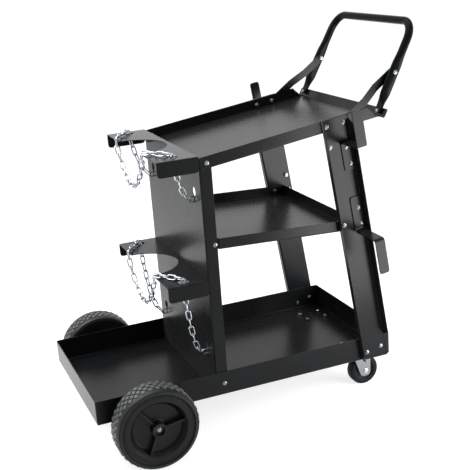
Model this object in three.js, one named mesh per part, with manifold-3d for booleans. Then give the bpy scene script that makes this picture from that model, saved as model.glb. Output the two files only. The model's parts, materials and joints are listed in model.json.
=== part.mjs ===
// Welding cart: three folded sheet-steel shelves between a cylinder panel and two leaning channel posts,
// on two large wheels and two swivel casters, with a push handle, cable hooks and two cylinder chains.
// Frame: X along the cart towards the handle, Y across it, Z up, millimetres and degrees.

import * as THREE from 'three';
import { mergeVertices } from 'three/addons/utils/BufferGeometryUtils.js';
import Module from 'manifold-3d';

const wasm = await Module();
wasm.setup();

// Sheet metal
const SHEET = 2;
const BEND_RADIUS = 4;
const FIT = 0.3;

// Bottom tray
const TRAY_LENGTH = 772;
const TRAY_WIDTH = 406;
const TRAY_LIP = 60;

// Cylinder panel with its side flanges
const PANEL_SETBACK = 297;
const PANEL_FLANGE = 30;
const PANEL_TOP = 690;
const KEYHOLE_DIAMETER = 22;
const KEYHOLE_SLOT = 6;
const KEYHOLE_Y = 152;

// Cylinder cradles
const CRADLE_REACH = 99;
const CRADLE_FLANGE = 36;
const CRADLE_BACK_FLANGE = 18;
const UPPER_CRADLE_TOP = 694;
const LOWER_CRADLE_TOP = 400;
const NOTCH_RADIUS = 90;
const CHAIN_HOLE_DIAMETER = 28;
const CHAIN_HOLE_SETBACK = 54;
const CHAIN_HOLE_Y = 172;

// Top tray and middle shelf
const TOP_SLOPE = 7.6;
const TOP_LENGTH = 462;
const TOP_LIP = 29;
const TOP_LIP_CUT = 28;
const TOP_LIP_STRIP = 4;
const SHELF_SLOPE = -2.6;
const SHELF_LENGTH = 386;
const SHELF_LIP = 27;
const SHELF_LEFT_HEIGHT = 471.8;

// Leaning channel posts
const POST_LEAN = 8.15;
const POST_WEB = 72;
const POST_FRONT_FLANGE = 17;
const POST_REAR_FLANGE = 27;
const POST_FOOT_INSET = 81;

// Cable hooks
const HOOK_WIDTH = 26;
const HOOK_STOCK = 3;
const HOOK_BEND = 9;
const HOOK_ACROSS = 53;
const UPPER_HOOK = { height: 570, plate: 73, run: 80, tip: 86 };
const LOWER_HOOK = { height: 341, plate: 89, run: 92, tip: 85 };

// Push handle and its braces
const HANDLE_LEAN = 28.7;
const HANDLE_HEIGHT = 226;
const HANDLE_TUBE = 20;
const HANDLE_FOOT_Y = 197;
const HANDLE_TOP_Y = 190.5;
const HANDLE_BEND = 46;
const HANDLE_FLANGE = 22;
const HANDLE_EAR = 24;
const FOOT_FLAT = 7;
const FOOT_WIDTH = 26;
const FOOT_RISE = 8;
const LEG_OVAL = 26;
const LEG_OVAL_THICK = 14;
const BRACE_WIDTH = 19;
const BRACE_STOCK = 3;
const BRACE_TAIL_START = 310;
const BRACE_TAIL_END = 384;
const BRACE_HEIGHT = 100;
const BRACE_FLAT = 58;
const BRACE_STRAIGHT = 54;

// Large wheels and axle
const WHEEL_DIAMETER = 200;
const WHEEL_SETBACK = 123;
const TYRE_WIDTH = 64;
const TYRE_DEPTH = 14;
const TYRE_SHOULDER = 9;
const WHEEL_GAP = 17;
const AXLE_DIAMETER = 12;
const BUSH_WALL = 3;
const BOSS_DIAMETER = 34;
const BOSS_RECESS_DIAMETER = 26;
const BOSS_RECESS_DEPTH = 7;
const DISH_DIAMETER = 138;
const DISH_DEPTH = 22;
const DISH_SLOPE = 11;
const HUB_WALL = 5;
const HUB_RIBS = 3;
const RIB_THICKNESS = 5;
const RIB_DROP = 5;
const RIB_TURN = 21;
const PUSH_NUT_STOCK = 2.5;
const PUSH_NUT_TEETH = 8;
const WHEEL_FACETS = 28;
const ROD_FACETS = 12;
const SADDLE_STOCK = 3;
const SADDLE_WIDTH = 30;
const SADDLE_Y = 165;

// Swivel casters
const CASTER_DIAMETER = 80;
const CASTER_WIDTH = 26;
const CASTER_TYRE_DEPTH = 11;
const CASTER_TRAIL = 20;
const CASTER_X_INSET = 56;
const CASTER_Y = 121;
const CASTER_STOCK = 2.5;
const CASTER_PLATE_LENGTH = 72;
const CASTER_PLATE_WIDTH = 60;
const CASTER_AXLE = 8;
const KINGPIN_DIAMETER = 12;
const RACE_DIAMETER = 48;
const CASTER_FACETS = 16;

// Cylinder chains
const WIRE = 3.5;
const LINK_PITCH = 21;
const LINK_INNER_WIDTH = 7.5;
const LINK_SINK = 0.7;
const LINK_BEND_STEPS = 3;
const LOOP_LINKS = 13;
const LAY_LINKS = 4;
const UPPER_TAIL_LINKS = 6;
const LOWER_TAIL_LINKS = 10;
const TAIL_SLACK = 1.02;

// Finishes
const POWDER_COAT = { color: 0x1d1e20, roughness: 0.5, metalness: 0.2 };
const ZINC = { color: 0xc9ccd0, roughness: 0.32, metalness: 0.9 };
const RUBBER = { color: 0x37383a, roughness: 0.85, metalness: 0 };
const PLASTIC = { color: 0x1a1b1c, roughness: 0.5, metalness: 0 };
const NYLON = { color: 0x4a4b4d, roughness: 0.6, metalness: 0 };

// Heights and places that follow from the driving dimensions
const wheelRadius = WHEEL_DIAMETER / 2;
const axleRadius = AXLE_DIAMETER / 2;
const halfWidth = TRAY_WIDTH / 2;
const leftEnd = -TRAY_LENGTH / 2;
const rightEnd = TRAY_LENGTH / 2;
const trayBottom = wheelRadius + axleRadius + FIT;
const trayFloor = trayBottom + SHEET;
const panelX = leftEnd + PANEL_SETBACK;
const panelHalf = halfWidth - SHEET - FIT;
const cradleTip = panelX - CRADLE_REACH;
const chainHoleX = panelX - CHAIN_HOLE_SETBACK + SHEET;
const postInner = halfWidth + FIT;
const postOuter = postInner + SHEET;
const rad = THREE.MathUtils.degToRad;

const cart = new THREE.Group();

// Solids: joins and cuts on closed meshes

/** Turns a closed geometry into a solid, with its faces pointing out. */
function solidOf(geometry) {
  const bare = geometry.clone();
  bare.deleteAttribute('normal');
  bare.deleteAttribute('uv');
  const merged = mergeVertices(bare, 1e-4);
  const triVerts = Uint32Array.from(merged.index.array);
  const vertProperties = Float32Array.from(merged.attributes.position.array);
  return new wasm.Manifold(new wasm.Mesh({ numProp: 3, vertProperties, triVerts }));
}

/** Turns a solid back into a geometry. */
function geometryOf(solid) {
  const mesh = solid.getMesh();
  const geometry = new THREE.BufferGeometry();
  geometry.setAttribute('position', new THREE.BufferAttribute(Float32Array.from(mesh.vertProperties), 3));
  geometry.setIndex(new THREE.BufferAttribute(Uint32Array.from(mesh.triVerts), 1));
  return geometry;
}

/** Joins geometries into one body. */
function join(...pieces) {
  return geometryOf(pieces.map(solidOf).reduce((whole, piece) => whole.add(piece)));
}

/** Cuts every tool from a geometry. */
function cut(base, ...tools) {
  return geometryOf(tools.map(solidOf).reduce((whole, tool) => whole.subtract(tool), solidOf(base)));
}

/** Keeps what two geometries share. */
function common(first, second) {
  return geometryOf(solidOf(first).intersect(solidOf(second)));
}

/** Turns a geometry's faces outwards when its signed volume is negative. */
function outward(geometry) {
  const bare = geometry.clone();
  bare.deleteAttribute('normal');
  bare.deleteAttribute('uv');
  const merged = mergeVertices(bare, 1e-4);
  const corner = [new THREE.Vector3(), new THREE.Vector3(), new THREE.Vector3()];
  const index = merged.index.array;
  let volume = 0;
  for (let i = 0; i < index.length; i += 3) {
    corner.forEach((point, k) => point.fromBufferAttribute(merged.attributes.position, index[i + k]));
    volume += corner[0].dot(corner[1].clone().cross(corner[2]));
  }
  return volume < 0 ? flipped(merged) : merged;
}

/** Reverses the winding of every triangle. */
function flipped(geometry) {
  const index = Array.from(geometry.index.array);
  for (let i = 0; i < index.length; i += 3) {
    [index[i + 1], index[i + 2]] = [index[i + 2], index[i + 1]];
  }
  geometry.setIndex(index);
  return geometry;
}

/** Mirrors a geometry across the plane y = 0. */
function mirrored(geometry) {
  const copy = geometry.clone().applyMatrix4(new THREE.Matrix4().makeScale(1, -1, 1));
  return flipped(copy);
}

/** Adds a named mesh to a parent group. */
function add(name, geometry, finish, parent = cart) {
  const mesh = new THREE.Mesh(geometry, new THREE.MeshStandardMaterial(finish));
  mesh.name = name;
  parent.add(mesh);
  return mesh;
}

// Outlines and profiles

/** Draws a closed outline through corner points, each rounded by its own radius. */
function outline(corners, radii) {
  const shape = new THREE.Shape();
  const points = corners.map(([a, b]) => new THREE.Vector2(a, b));
  const count = points.length;
  points.forEach((point, i) => {
    const before = points[(i + count - 1) % count];
    const after = points[(i + 1) % count];
    const radius = Array.isArray(radii) ? radii[i] : radii;
    const toBefore = before.clone().sub(point);
    const toAfter = after.clone().sub(point);
    const turn = Math.abs(toBefore.angleTo(toAfter));
    const wanted = radius / Math.tan(turn / 2);
    const setback = Math.min(wanted, toBefore.length() / 2, toAfter.length() / 2);
    const start = point.clone().add(toBefore.setLength(setback));
    const end = point.clone().add(toAfter.setLength(setback));
    if (i === 0) shape.moveTo(start.x, start.y);
    else shape.lineTo(start.x, start.y);
    if (radius > 0) shape.quadraticCurveTo(point.x, point.y, end.x, end.y);
  });
  shape.closePath();
  return shape;
}

/** Draws a rectangle outline centred on a point. */
function rectangle(width, height, radius = 0, centre = [0, 0]) {
  const [a, b] = centre;
  const corners = [
    [a - width / 2, b - height / 2],
    [a + width / 2, b - height / 2],
    [a + width / 2, b + height / 2],
    [a - width / 2, b + height / 2],
  ];
  return outline(corners, radius);
}

/** Draws a circle outline. */
function circle(radius, centre = [0, 0]) {
  const shape = new THREE.Shape();
  shape.absarc(centre[0], centre[1], radius, 0, Math.PI * 2);
  return shape;
}

/** Draws the section of a folded sheet: a path offset to one side by the sheet, with rounded bends. */
function foldedSection(path, stock, bend, side) {
  const points = path.map(([a, b]) => new THREE.Vector2(a, b));
  const last = points.length - 1;
  const normal = (i) => {
    const along = points[i + 1].clone().sub(points[i]).normalize();
    return new THREE.Vector2(-along.y, along.x).multiplyScalar(side);
  };
  const offset = points.map((point, i) => {
    const first = normal(Math.max(i - 1, 0));
    const second = normal(Math.min(i, last - 1));
    const mitre = first.clone().add(second);
    return point.clone().add(mitre.multiplyScalar((2 * stock) / mitre.lengthSq()));
  });
  const inside = Math.max(bend - stock, 0.6);
  const pathRadii = points.map((point, i) => {
    if (i === 0 || i === last) return 0;
    const turn = normal(i - 1).cross(normal(i)) * side;
    return turn > 0 ? bend : inside;
  });
  const offsetRadii = pathRadii.map((radius) => (radius === 0 ? 0 : bend + inside - radius));
  const corners = [...points, ...offset.slice().reverse()].map((point) => [point.x, point.y]);
  return outline(corners, [...pathRadii, ...offsetRadii.slice().reverse()]);
}

/** Extrudes an outline upwards from z = low to z = high. */
function alongZ(shape, low, high, curveSegments = 4) {
  const geometry = new THREE.ExtrudeGeometry(shape, { depth: high - low, bevelEnabled: false, curveSegments });
  return geometry.translate(0, 0, low);
}

/** Extrudes an outline drawn in (y, z) from x = low to x = high. */
function alongX(shape, low, high, curveSegments = 4) {
  const geometry = alongZ(shape, low, high, curveSegments);
  const turn = new THREE.Matrix4().makeBasis(
    new THREE.Vector3(0, 1, 0),
    new THREE.Vector3(0, 0, 1),
    new THREE.Vector3(1, 0, 0),
  );
  return geometry.applyMatrix4(turn);
}

/** Extrudes an outline drawn in (x, z) from y = low to y = high. */
function alongY(shape, low, high, curveSegments = 4) {
  const geometry = alongZ(shape, -high, -low, curveSegments);
  const turn = new THREE.Matrix4().makeBasis(
    new THREE.Vector3(1, 0, 0),
    new THREE.Vector3(0, 0, 1),
    new THREE.Vector3(0, -1, 0),
  );
  return geometry.applyMatrix4(turn);
}

/** Makes a box from its lowest to its highest corner. */
function box(low, high) {
  const size = high.map((value, i) => value - low[i]);
  const centre = high.map((value, i) => (value + low[i]) / 2);
  return new THREE.BoxGeometry(...size).translate(...centre);
}

/** Revolves a closed profile of (radius, y) points about the Y axis. */
function revolved(profile, segments) {
  const points = [...profile, profile[0]].map(([r, y]) => new THREE.Vector2(r, y));
  return outward(new THREE.LatheGeometry(points, segments));
}

/** Revolves a closed profile of (radius, z) points about the Z axis. */
function revolvedZ(profile, segments) {
  return revolved(profile, segments).rotateX(Math.PI / 2);
}

/** Skins closed rings of points into one body with flat ends. */
function loft(rings) {
  const count = rings[0].length;
  const positions = rings.flat().flatMap((point) => point.toArray());
  const index = [];
  for (let ring = 0; ring + 1 < rings.length; ring += 1) {
    for (let i = 0; i < count; i += 1) {
      const next = (i + 1) % count;
      const low = ring * count;
      const high = low + count;
      index.push(low + i, low + next, high + next, low + i, high + next, high + i);
    }
  }
  const top = (rings.length - 1) * count;
  for (let i = 1; i + 1 < count; i += 1) {
    index.push(0, i + 1, i);
    index.push(top, top + i, top + i + 1);
  }
  const geometry = new THREE.BufferGeometry();
  geometry.setAttribute('position', new THREE.Float32BufferAttribute(positions, 3));
  geometry.setIndex(index);
  return outward(geometry);
}

/** A level ring of a rounded rectangle, drawn in by an inset. */
function levelRing(length, width, inset, corner, z) {
  const steps = 2;
  const ring = [];
  const radius = Math.max(corner - inset, 0.5);
  const quadrants = [[1, 1], [-1, 1], [-1, -1], [1, -1]];
  quadrants.forEach(([sx, sy], quadrant) => {
    const cx = sx * (length / 2 - inset - radius);
    const cy = sy * (width / 2 - inset - radius);
    for (let k = 0; k <= steps; k += 1) {
      const angle = (quadrant + k / steps) * (Math.PI / 2);
      ring.push(new THREE.Vector3(cx + radius * Math.cos(angle), cy + radius * Math.sin(angle), z));
    }
  });
  return ring;
}

/** A solid block whose lower edges have the bend radius of a folded pan. */
function panBlock(length, width, low, high, bend) {
  const soften = 1 - Math.SQRT1_2;
  return loft([
    levelRing(length, width, bend, bend, low),
    levelRing(length, width, bend * soften, bend, low + bend * soften),
    levelRing(length, width, 0, bend, low + bend),
    levelRing(length, width, 0, bend, high),
  ]);
}

/** An open folded pan standing on z = 0, centred on the origin. */
function pan(length, width, lip) {
  const outer = panBlock(length, width, 0, lip, BEND_RADIUS);
  const inner = panBlock(length - 2 * SHEET, width - 2 * SHEET, SHEET, lip + SHEET, BEND_RADIUS - SHEET);
  return cut(outer, inner);
}

/** Sweeps an elliptical section along a path that lies in the plane z = 0. */
function flatTube(path, sides) {
  const rings = path.map(({ point, along, wide, thick }) => {
    const across = new THREE.Vector3(-along.y, along.x, 0);
    return Array.from({ length: sides }, (unused, k) => {
      const angle = (k / sides) * Math.PI * 2;
      const ring = point.clone().addScaledVector(across, wide * Math.cos(angle));
      return ring.setZ(thick * Math.sin(angle));
    });
  });
  return loft(rings);
}

// Bottom tray

add('bottom_tray', pan(TRAY_LENGTH, TRAY_WIDTH, TRAY_LIP).translate(0, 0, trayBottom), POWDER_COAT);

// Places along the chains, shared by the cradles, the panel and the links

const wireRadius = WIRE / 2;
const linkRadius = (LINK_INNER_WIDTH + WIRE) / 2;
const linkReach = (WIRE - LINK_SINK) / 2;
const wireBack = 0.8 * wireRadius;
const wireSection = [[-wireRadius, 0], [wireBack, -wireRadius], [wireBack, wireRadius]];
const layHeight = linkRadius * Math.SQRT1_2 + Math.hypot(wireBack, wireRadius) + FIT;

/** Works out the points that one chain passes on the near side of its cradle. */
function chainPlaces(plateTop, tailLinks) {
  const layZ = plateTop + layHeight;
  const hole = new THREE.Vector3(chainHoleX, -CHAIN_HOLE_Y, layZ);
  const edgeX = cradleTip - wireRadius - 4 * FIT;
  const layRun = LAY_LINKS * LINK_PITCH;
  const edgeY = hole.y + Math.sqrt(layRun ** 2 - (hole.x - edgeX) ** 2);
  const edge = new THREE.Vector3(edgeX, edgeY, layZ);
  const slotX = panelX - LINK_PITCH * 0.58;
  const tailRun = (tailLinks * LINK_PITCH) / TAIL_SLACK;
  const drop = Math.sqrt(tailRun ** 2 - (slotX - hole.x) ** 2 - (CHAIN_HOLE_Y - KEYHOLE_Y) ** 2);
  const slot = new THREE.Vector3(slotX, -KEYHOLE_Y, layZ - drop);
  return { hole, edge, slot, tailLinks };
}

const upperChain = chainPlaces(UPPER_CRADLE_TOP, UPPER_TAIL_LINKS);
const lowerChain = chainPlaces(LOWER_CRADLE_TOP, LOWER_TAIL_LINKS);

// Cylinder panel: a folded web with a keyhole for each chain end

/** The tools that cut one keyhole: a round hole with a slot below it that holds a link on edge. */
function keyholeTools(y, slotZ) {
  const slotLow = slotZ - linkRadius - wireRadius - 2 * FIT;
  const holeZ = slotZ + linkRadius + wireRadius + KEYHOLE_DIAMETER / 2;
  const hole = alongX(circle(KEYHOLE_DIAMETER / 2, [y, holeZ]), panelX - SHEET, panelX + 2 * SHEET);
  const slotCentre = [y, (slotLow + holeZ) / 2];
  const slot = alongX(rectangle(KEYHOLE_SLOT, holeZ - slotLow, 0, slotCentre), panelX - SHEET, panelX + 2 * SHEET);
  return [hole, slot];
}

function cylinderPanel() {
  const path = [
    [panelX + PANEL_FLANGE, panelHalf],
    [panelX, panelHalf],
    [panelX, -panelHalf],
    [panelX + PANEL_FLANGE, -panelHalf],
  ];
  const sheet = alongZ(foldedSection(path, SHEET, BEND_RADIUS, 1), trayFloor + FIT, PANEL_TOP);
  const relief = BEND_RADIUS;
  const tools = [];
  [-1, 1].forEach((side) => {
    const low = [panelX - 1, side > 0 ? panelHalf - relief : -panelHalf - 1, trayFloor];
    const high = [panelX + PANEL_FLANGE + 1, side > 0 ? panelHalf + 1 : relief - panelHalf, trayFloor + relief];
    tools.push(box(low, high));
    [upperChain, lowerChain].forEach(({ slot }) => tools.push(...keyholeTools(side * KEYHOLE_Y, slot.z)));
  });
  return cut(sheet, ...tools);
}

add('cylinder_panel', cylinderPanel(), POWDER_COAT);

// Cylinder cradles: a plate with turned-down flanges, a round notch and a hole for the chain in each arm

function cradle(top) {
  const low = top - CRADLE_FLANGE;
  const back = panelX - FIT;
  const path = [
    [-halfWidth, low],
    [-halfWidth, top],
    [halfWidth, top],
    [halfWidth, low],
  ];
  const sheet = alongX(foldedSection(path, SHEET, BEND_RADIUS, -1), cradleTip, back, 3);
  const corner = CRADLE_FLANGE / 4;
  const side = [
    [cradleTip, low],
    [back, low],
    [back, top + 1],
    [cradleTip, top + 1],
  ];
  const trimmed = common(sheet, alongY(outline(side, [corner, corner, 0, 0]), -halfWidth - 1, halfWidth + 1, 3));
  const backInset = BEND_RADIUS + SHEET;
  const flangeLow = [back - SHEET, backInset - halfWidth, top - CRADLE_BACK_FLANGE];
  const flange = box(flangeLow, [back, halfWidth - backInset, top - SHEET / 2]);
  const through = [top - CRADLE_FLANGE - 1, top + 1];
  const notch = alongZ(circle(NOTCH_RADIUS, [cradleTip, 0]), ...through, 14);
  const holes = [-1, 1].map((sideOf) => {
    return alongZ(circle(CHAIN_HOLE_DIAMETER / 2, [chainHoleX, sideOf * CHAIN_HOLE_Y]), ...through, 6);
  });
  return cut(join(trimmed, flange), notch, ...holes);
}

add('upper_cradle', cradle(UPPER_CRADLE_TOP), POWDER_COAT);
add('lower_cradle', cradle(LOWER_CRADLE_TOP), POWDER_COAT);

// Top tray: sloping floor between two lips, with a leaning end flange whose ears stand out past the lips

const topSlope = rad(TOP_SLOPE);
const topOrigin = new THREE.Vector3(
  panelX + TOP_LIP * Math.sin(topSlope),
  0,
  PANEL_TOP - TOP_LIP * Math.cos(topSlope),
);

/** Turns a place on the top tray, along the slope and square to it, into a place on the cart. */
function onTopTray(along, square, y = 0) {
  return new THREE.Vector3(
    topOrigin.x + along * Math.cos(topSlope) - square * Math.sin(topSlope),
    y,
    topOrigin.z + along * Math.sin(topSlope) + square * Math.cos(topSlope),
  );
}

function topTray() {
  const path = [
    [-halfWidth, TOP_LIP],
    [-halfWidth, 0],
    [halfWidth, 0],
    [halfWidth, TOP_LIP],
  ];
  const channel = alongX(foldedSection(path, SHEET, BEND_RADIUS, 1), 0, TOP_LENGTH);
  const lipEnd = outline([
    [0, 0],
    [TOP_LENGTH, 0],
    [TOP_LENGTH, TOP_LIP_STRIP],
    [TOP_LENGTH - TOP_LIP_CUT / 4, TOP_LIP_STRIP],
    [TOP_LENGTH - TOP_LIP_CUT, TOP_LIP],
    [0, TOP_LIP],
  ], 0);
  const trimmed = common(channel, alongY(lipEnd, -halfWidth, halfWidth));
  const earWidth = TRAY_WIDTH + 2 * HANDLE_EAR;
  const corner = HANDLE_FLANGE / 4;
  const blade = alongX(rectangle(earWidth, HANDLE_FLANGE, corner, [0, HANDLE_FLANGE / 2]), 0, SHEET);
  const flange = blade.rotateY(rad(HANDLE_LEAN) + topSlope).translate(TOP_LENGTH - SHEET, 0, SHEET / 2);
  const placed = join(trimmed, flange).rotateY(-topSlope).translate(topOrigin.x, 0, topOrigin.z);
  const notches = [-1, 1].map((side) => {
    const inner = panelHalf - SHEET - FIT;
    const outer = panelHalf + FIT + SHEET / 8;
    const low = [panelX - 1, Math.min(side * inner, side * outer), topOrigin.z - TOP_LIP];
    const high = [panelX + PANEL_FLANGE + FIT, Math.max(side * inner, side * outer), PANEL_TOP + TOP_LIP];
    return box(low, high);
  });
  const web = box([panelX - TOP_LIP, -panelHalf, topOrigin.z - TOP_LIP], [panelX + SHEET + FIT, panelHalf, PANEL_TOP]);
  return cut(placed, ...notches, web);
}

add('top_tray', topTray(), POWDER_COAT);

// Middle shelf: a pan whose left end steps in to pass between the panel's flanges

const shelfSlope = rad(SHELF_SLOPE);

function middleShelf() {
  const start = panelX + SHEET + FIT;
  const step = PANEL_FLANGE - SHEET;
  const narrow = 2 * (panelHalf - SHEET - FIT);
  const wideLength = SHELF_LENGTH - step;
  const wideCentre = step + wideLength / 2;
  const narrowLength = step + 3 * BEND_RADIUS;
  const block = (length, width, low, high, bend, x) => panBlock(length, width, low, high, bend).translate(x, 0, 0);
  const outer = join(
    block(wideLength, TRAY_WIDTH, 0, SHELF_LIP, BEND_RADIUS, wideCentre),
    block(narrowLength, narrow, 0, SHELF_LIP, BEND_RADIUS, narrowLength / 2),
  );
  const inset = 2 * SHEET;
  const bend = BEND_RADIUS - SHEET;
  const high = SHELF_LIP + SHEET;
  const inner = [
    block(wideLength - inset, TRAY_WIDTH - inset, SHEET, high, bend, wideCentre),
    block(narrowLength - inset, narrow - inset, SHEET, high, bend, narrowLength / 2),
  ];
  return cut(outer, ...inner).rotateY(-shelfSlope).translate(start, 0, SHELF_LEFT_HEIGHT);
}

add('middle_shelf', middleShelf(), POWDER_COAT);

// Leaning channel posts

const postLean = rad(POST_LEAN);
const postFoot = new THREE.Vector3(rightEnd - POST_FOOT_INSET, 0, trayBottom);

/** Leans a geometry drawn up the near post, with the web's front edge on x = 0. */
function onPost(geometry) {
  return geometry.rotateY(-postLean).translate(postFoot.x, 0, postFoot.z);
}

function nearPost() {
  const reach = 900;
  const path = [
    [0, -postInner - POST_FRONT_FLANGE],
    [0, -postInner],
    [POST_WEB, -postInner],
    [POST_WEB, -postInner - POST_REAR_FLANGE],
  ];
  const channel = onPost(alongZ(foldedSection(path, SHEET, BEND_RADIUS, -1), -TRAY_LIP, reach));
  const lipTop = (x) => PANEL_TOP + (x - panelX) * Math.tan(topSlope);
  const lipFoot = (x) => lipTop(x) - TOP_LIP / Math.cos(topSlope);
  const side = outline([
    [0, trayBottom],
    [reach, trayBottom],
    [reach, lipTop(reach)],
    [0, lipTop(0)],
  ], 0);
  const trimmed = common(channel, alongY(side, -postInner - 2 * POST_REAR_FLANGE, 0));
  const clear = -postOuter - FIT;
  const far = -postInner - 2 * POST_REAR_FLANGE;
  const webTop = postFoot.x - reach * Math.tan(postLean) * 0.6;
  const topCorner = (shoulder, steepness) => outline([
    [clear, reach],
    [clear, shoulder],
    [far, shoulder + (far - clear) * steepness],
    [far, reach],
  ], 0);
  const frontCorner = alongX(topCorner(lipFoot(webTop), 1.2), 0, webTop + POST_WEB / 2);
  const rearCorner = alongX(topCorner(lipTop(webTop), 0.5), webTop + POST_WEB / 2, reach);
  const heel = trayBottom + TRAY_LIP;
  const footCorner = outline([
    [clear, 0],
    [far, 0],
    [far, heel - (far - clear) * 0.5],
    [clear, heel],
  ], 0);
  const footStart = postFoot.x + POST_WEB / 2;
  return cut(trimmed, frontCorner, rearCorner, alongX(footCorner, footStart, reach));
}

const postGeometry = nearPost();
add('near_post', postGeometry, POWDER_COAT);
add('far_post', mirrored(postGeometry), POWDER_COAT);

// Cable hooks: flat bar bolted to the post's web, run out sideways and turned up or down at the tip

function nearHook({ height, plate, run, tip }, rising) {
  const back = -postOuter - FIT;
  const path = [
    [back, height - rising * plate],
    [back, height],
    [back - run, height],
    [back - run, height + rising * tip],
  ];
  const section = foldedSection(path, HOOK_STOCK, HOOK_BEND, rising);
  const bar = alongX(section, HOOK_ACROSS - HOOK_WIDTH / 2, HOOK_ACROSS + HOOK_WIDTH / 2, 3);
  const centre = [HOOK_ACROSS, height + (rising * (tip - plate)) / 2];
  const front = alongY(rectangle(HOOK_WIDTH, plate + tip, HOOK_WIDTH / 4, centre), back - 2 * run, 0, 3);
  return onPost(common(bar, front));
}

const upperHook = nearHook(UPPER_HOOK, 1);
const lowerHook = nearHook(LOWER_HOOK, -1);
add('near_upper_hook', upperHook, POWDER_COAT);
add('near_lower_hook', lowerHook, POWDER_COAT);
add('far_upper_hook', mirrored(upperHook), POWDER_COAT);
add('far_lower_hook', mirrored(lowerHook), POWDER_COAT);

// Push handle: a bent tube, its legs pressed oval and its feet flat on the inner face of the tray's end flange

const handleLean = rad(HANDLE_LEAN);
const flangeFoot = onTopTray(TOP_LENGTH - SHEET, SHEET / 2);
const legSlope = new THREE.Vector3(Math.sin(handleLean), 0, Math.cos(handleLean));
const footOffset = FIT + FOOT_FLAT / 2;
const handleFoot = flangeFoot.clone().addScaledVector(legSlope, HANDLE_FLANGE / 2);
handleFoot.x -= footOffset * Math.cos(handleLean);
handleFoot.z += footOffset * Math.sin(handleLean);

/** How far a leg stands from the cart's middle at a height up the leg. */
function legY(height) {
  const share = Math.max(0, Math.min(1, height / (HANDLE_HEIGHT - HANDLE_BEND)));
  return HANDLE_FOOT_Y + (HANDLE_TOP_Y - HANDLE_FOOT_Y) * share;
}

function handleTube() {
  const radius = HANDLE_TUBE / 2;
  const flat = { wide: FOOT_WIDTH / 2, thick: FOOT_FLAT / 2 };
  const oval = { wide: LEG_OVAL_THICK / 2, thick: LEG_OVAL / 2 };
  const round = { wide: radius, thick: radius };
  const up = new THREE.Vector3(0, 1, 0);
  const leg = [
    [FOOT_RISE - HANDLE_FLANGE / 2, flat],
    [HANDLE_FLANGE / 2 + 2, flat],
    [HANDLE_FLANGE + LEG_OVAL, oval],
    [BRACE_HEIGHT + LEG_OVAL / 2, oval],
    [BRACE_HEIGHT + 2 * LEG_OVAL, round],
  ].map(([height, section]) => ({ point: new THREE.Vector3(-legY(height), height, 0), along: up, ...section }));
  const bendSteps = 5;
  const bend = Array.from({ length: bendSteps + 1 }, (unused, k) => {
    const angle = Math.PI - (k / bendSteps) * (Math.PI / 2);
    const centre = new THREE.Vector3(HANDLE_BEND - HANDLE_TOP_Y, HANDLE_HEIGHT - HANDLE_BEND, 0);
    const spoke = new THREE.Vector3(Math.cos(angle), Math.sin(angle), 0);
    return {
      point: centre.addScaledVector(spoke, HANDLE_BEND),
      along: new THREE.Vector3(Math.sin(angle), -Math.cos(angle), 0),
      ...round,
    };
  });
  const half = [...leg, ...bend];
  const rest = half.slice().reverse().map(({ point, along, wide, thick }) => ({
    point: new THREE.Vector3(-point.x, point.y, 0),
    along: new THREE.Vector3(along.x, -along.y, 0),
    wide,
    thick,
  }));
  return flatTube([...half, ...rest], 10);
}

const handle = add('handle', handleTube(), POWDER_COAT);
const handleTurn = new THREE.Matrix4().makeBasis(
  new THREE.Vector3(0, 1, 0),
  legSlope,
  new THREE.Vector3(Math.cos(handleLean), 0, -Math.sin(handleLean)),
);
handle.rotation.setFromRotationMatrix(handleTurn);
handle.position.copy(handleFoot);

// Handle braces: flat straps from inside the lips, set over to the inner side of each leg

function nearBrace() {
  const square = TOP_LIP - BRACE_WIDTH / 2 + FIT;
  const start = onTopTray(BRACE_TAIL_START, square);
  const knee = onTopTray(BRACE_TAIL_END, square);
  const head = handleFoot.clone().addScaledVector(legSlope, BRACE_HEIGHT);
  const half = BRACE_WIDTH / 2;
  const tailY = -(halfWidth - SHEET - FIT - BRACE_STOCK / 2);
  const headY = -(legY(BRACE_HEIGHT + BRACE_WIDTH) - LEG_OVAL_THICK / 2 - FIT - BRACE_STOCK / 2);
  const tail = knee.clone().sub(start).normalize();
  const rise = head.clone().sub(knee).normalize();
  const turn = tail.clone().add(rise).normalize();
  const ring = (point, along, reach, y) => [[1, -1], [1, 1], [-1, 1], [-1, -1]].map(([side, face]) => {
    const across = side * reach;
    const place = point.clone().add(new THREE.Vector3(-along.z * across, 0, along.x * across));
    return place.setY(y + (face * BRACE_STOCK) / 2);
  });
  const roundEnd = (point, along, away, y) => [20, 55, 90].map((angle) => {
    const place = point.clone().addScaledVector(along, away * half * Math.cos(rad(angle)));
    return ring(place, along, half * Math.sin(rad(angle)), y);
  });
  const setOver = knee.clone().addScaledVector(rise, BRACE_STRAIGHT);
  const flatStart = head.clone().addScaledVector(rise, -BRACE_FLAT);
  return loft([
    ...roundEnd(start, tail, -1, tailY),
    ring(knee, turn, half / turn.dot(tail), tailY),
    ring(setOver, rise, half, tailY),
    ring(flatStart, rise, half, headY),
    ...roundEnd(head, rise, 1, headY).reverse(),
  ]);
}

const braceGeometry = nearBrace();
add('near_brace', braceGeometry, POWDER_COAT);
add('far_brace', mirrored(braceGeometry), POWDER_COAT);

// Axle, held under the tray by two saddles

const wheelX = leftEnd + WHEEL_SETBACK;
const tyreInner = halfWidth + WHEEL_GAP;
const wheelMid = tyreInner + TYRE_WIDTH / 2;
const bossInner = tyreInner - WHEEL_GAP / 2;
const bossOuter = tyreInner + TYRE_WIDTH;
const recessFloor = bossOuter - BOSS_RECESS_DEPTH;
const axleEnd = bossOuter - SHEET;

add('axle', new THREE.CylinderGeometry(axleRadius, axleRadius, 2 * axleEnd, ROD_FACETS), ZINC)
  .position.set(wheelX, 0, wheelRadius);

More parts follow.
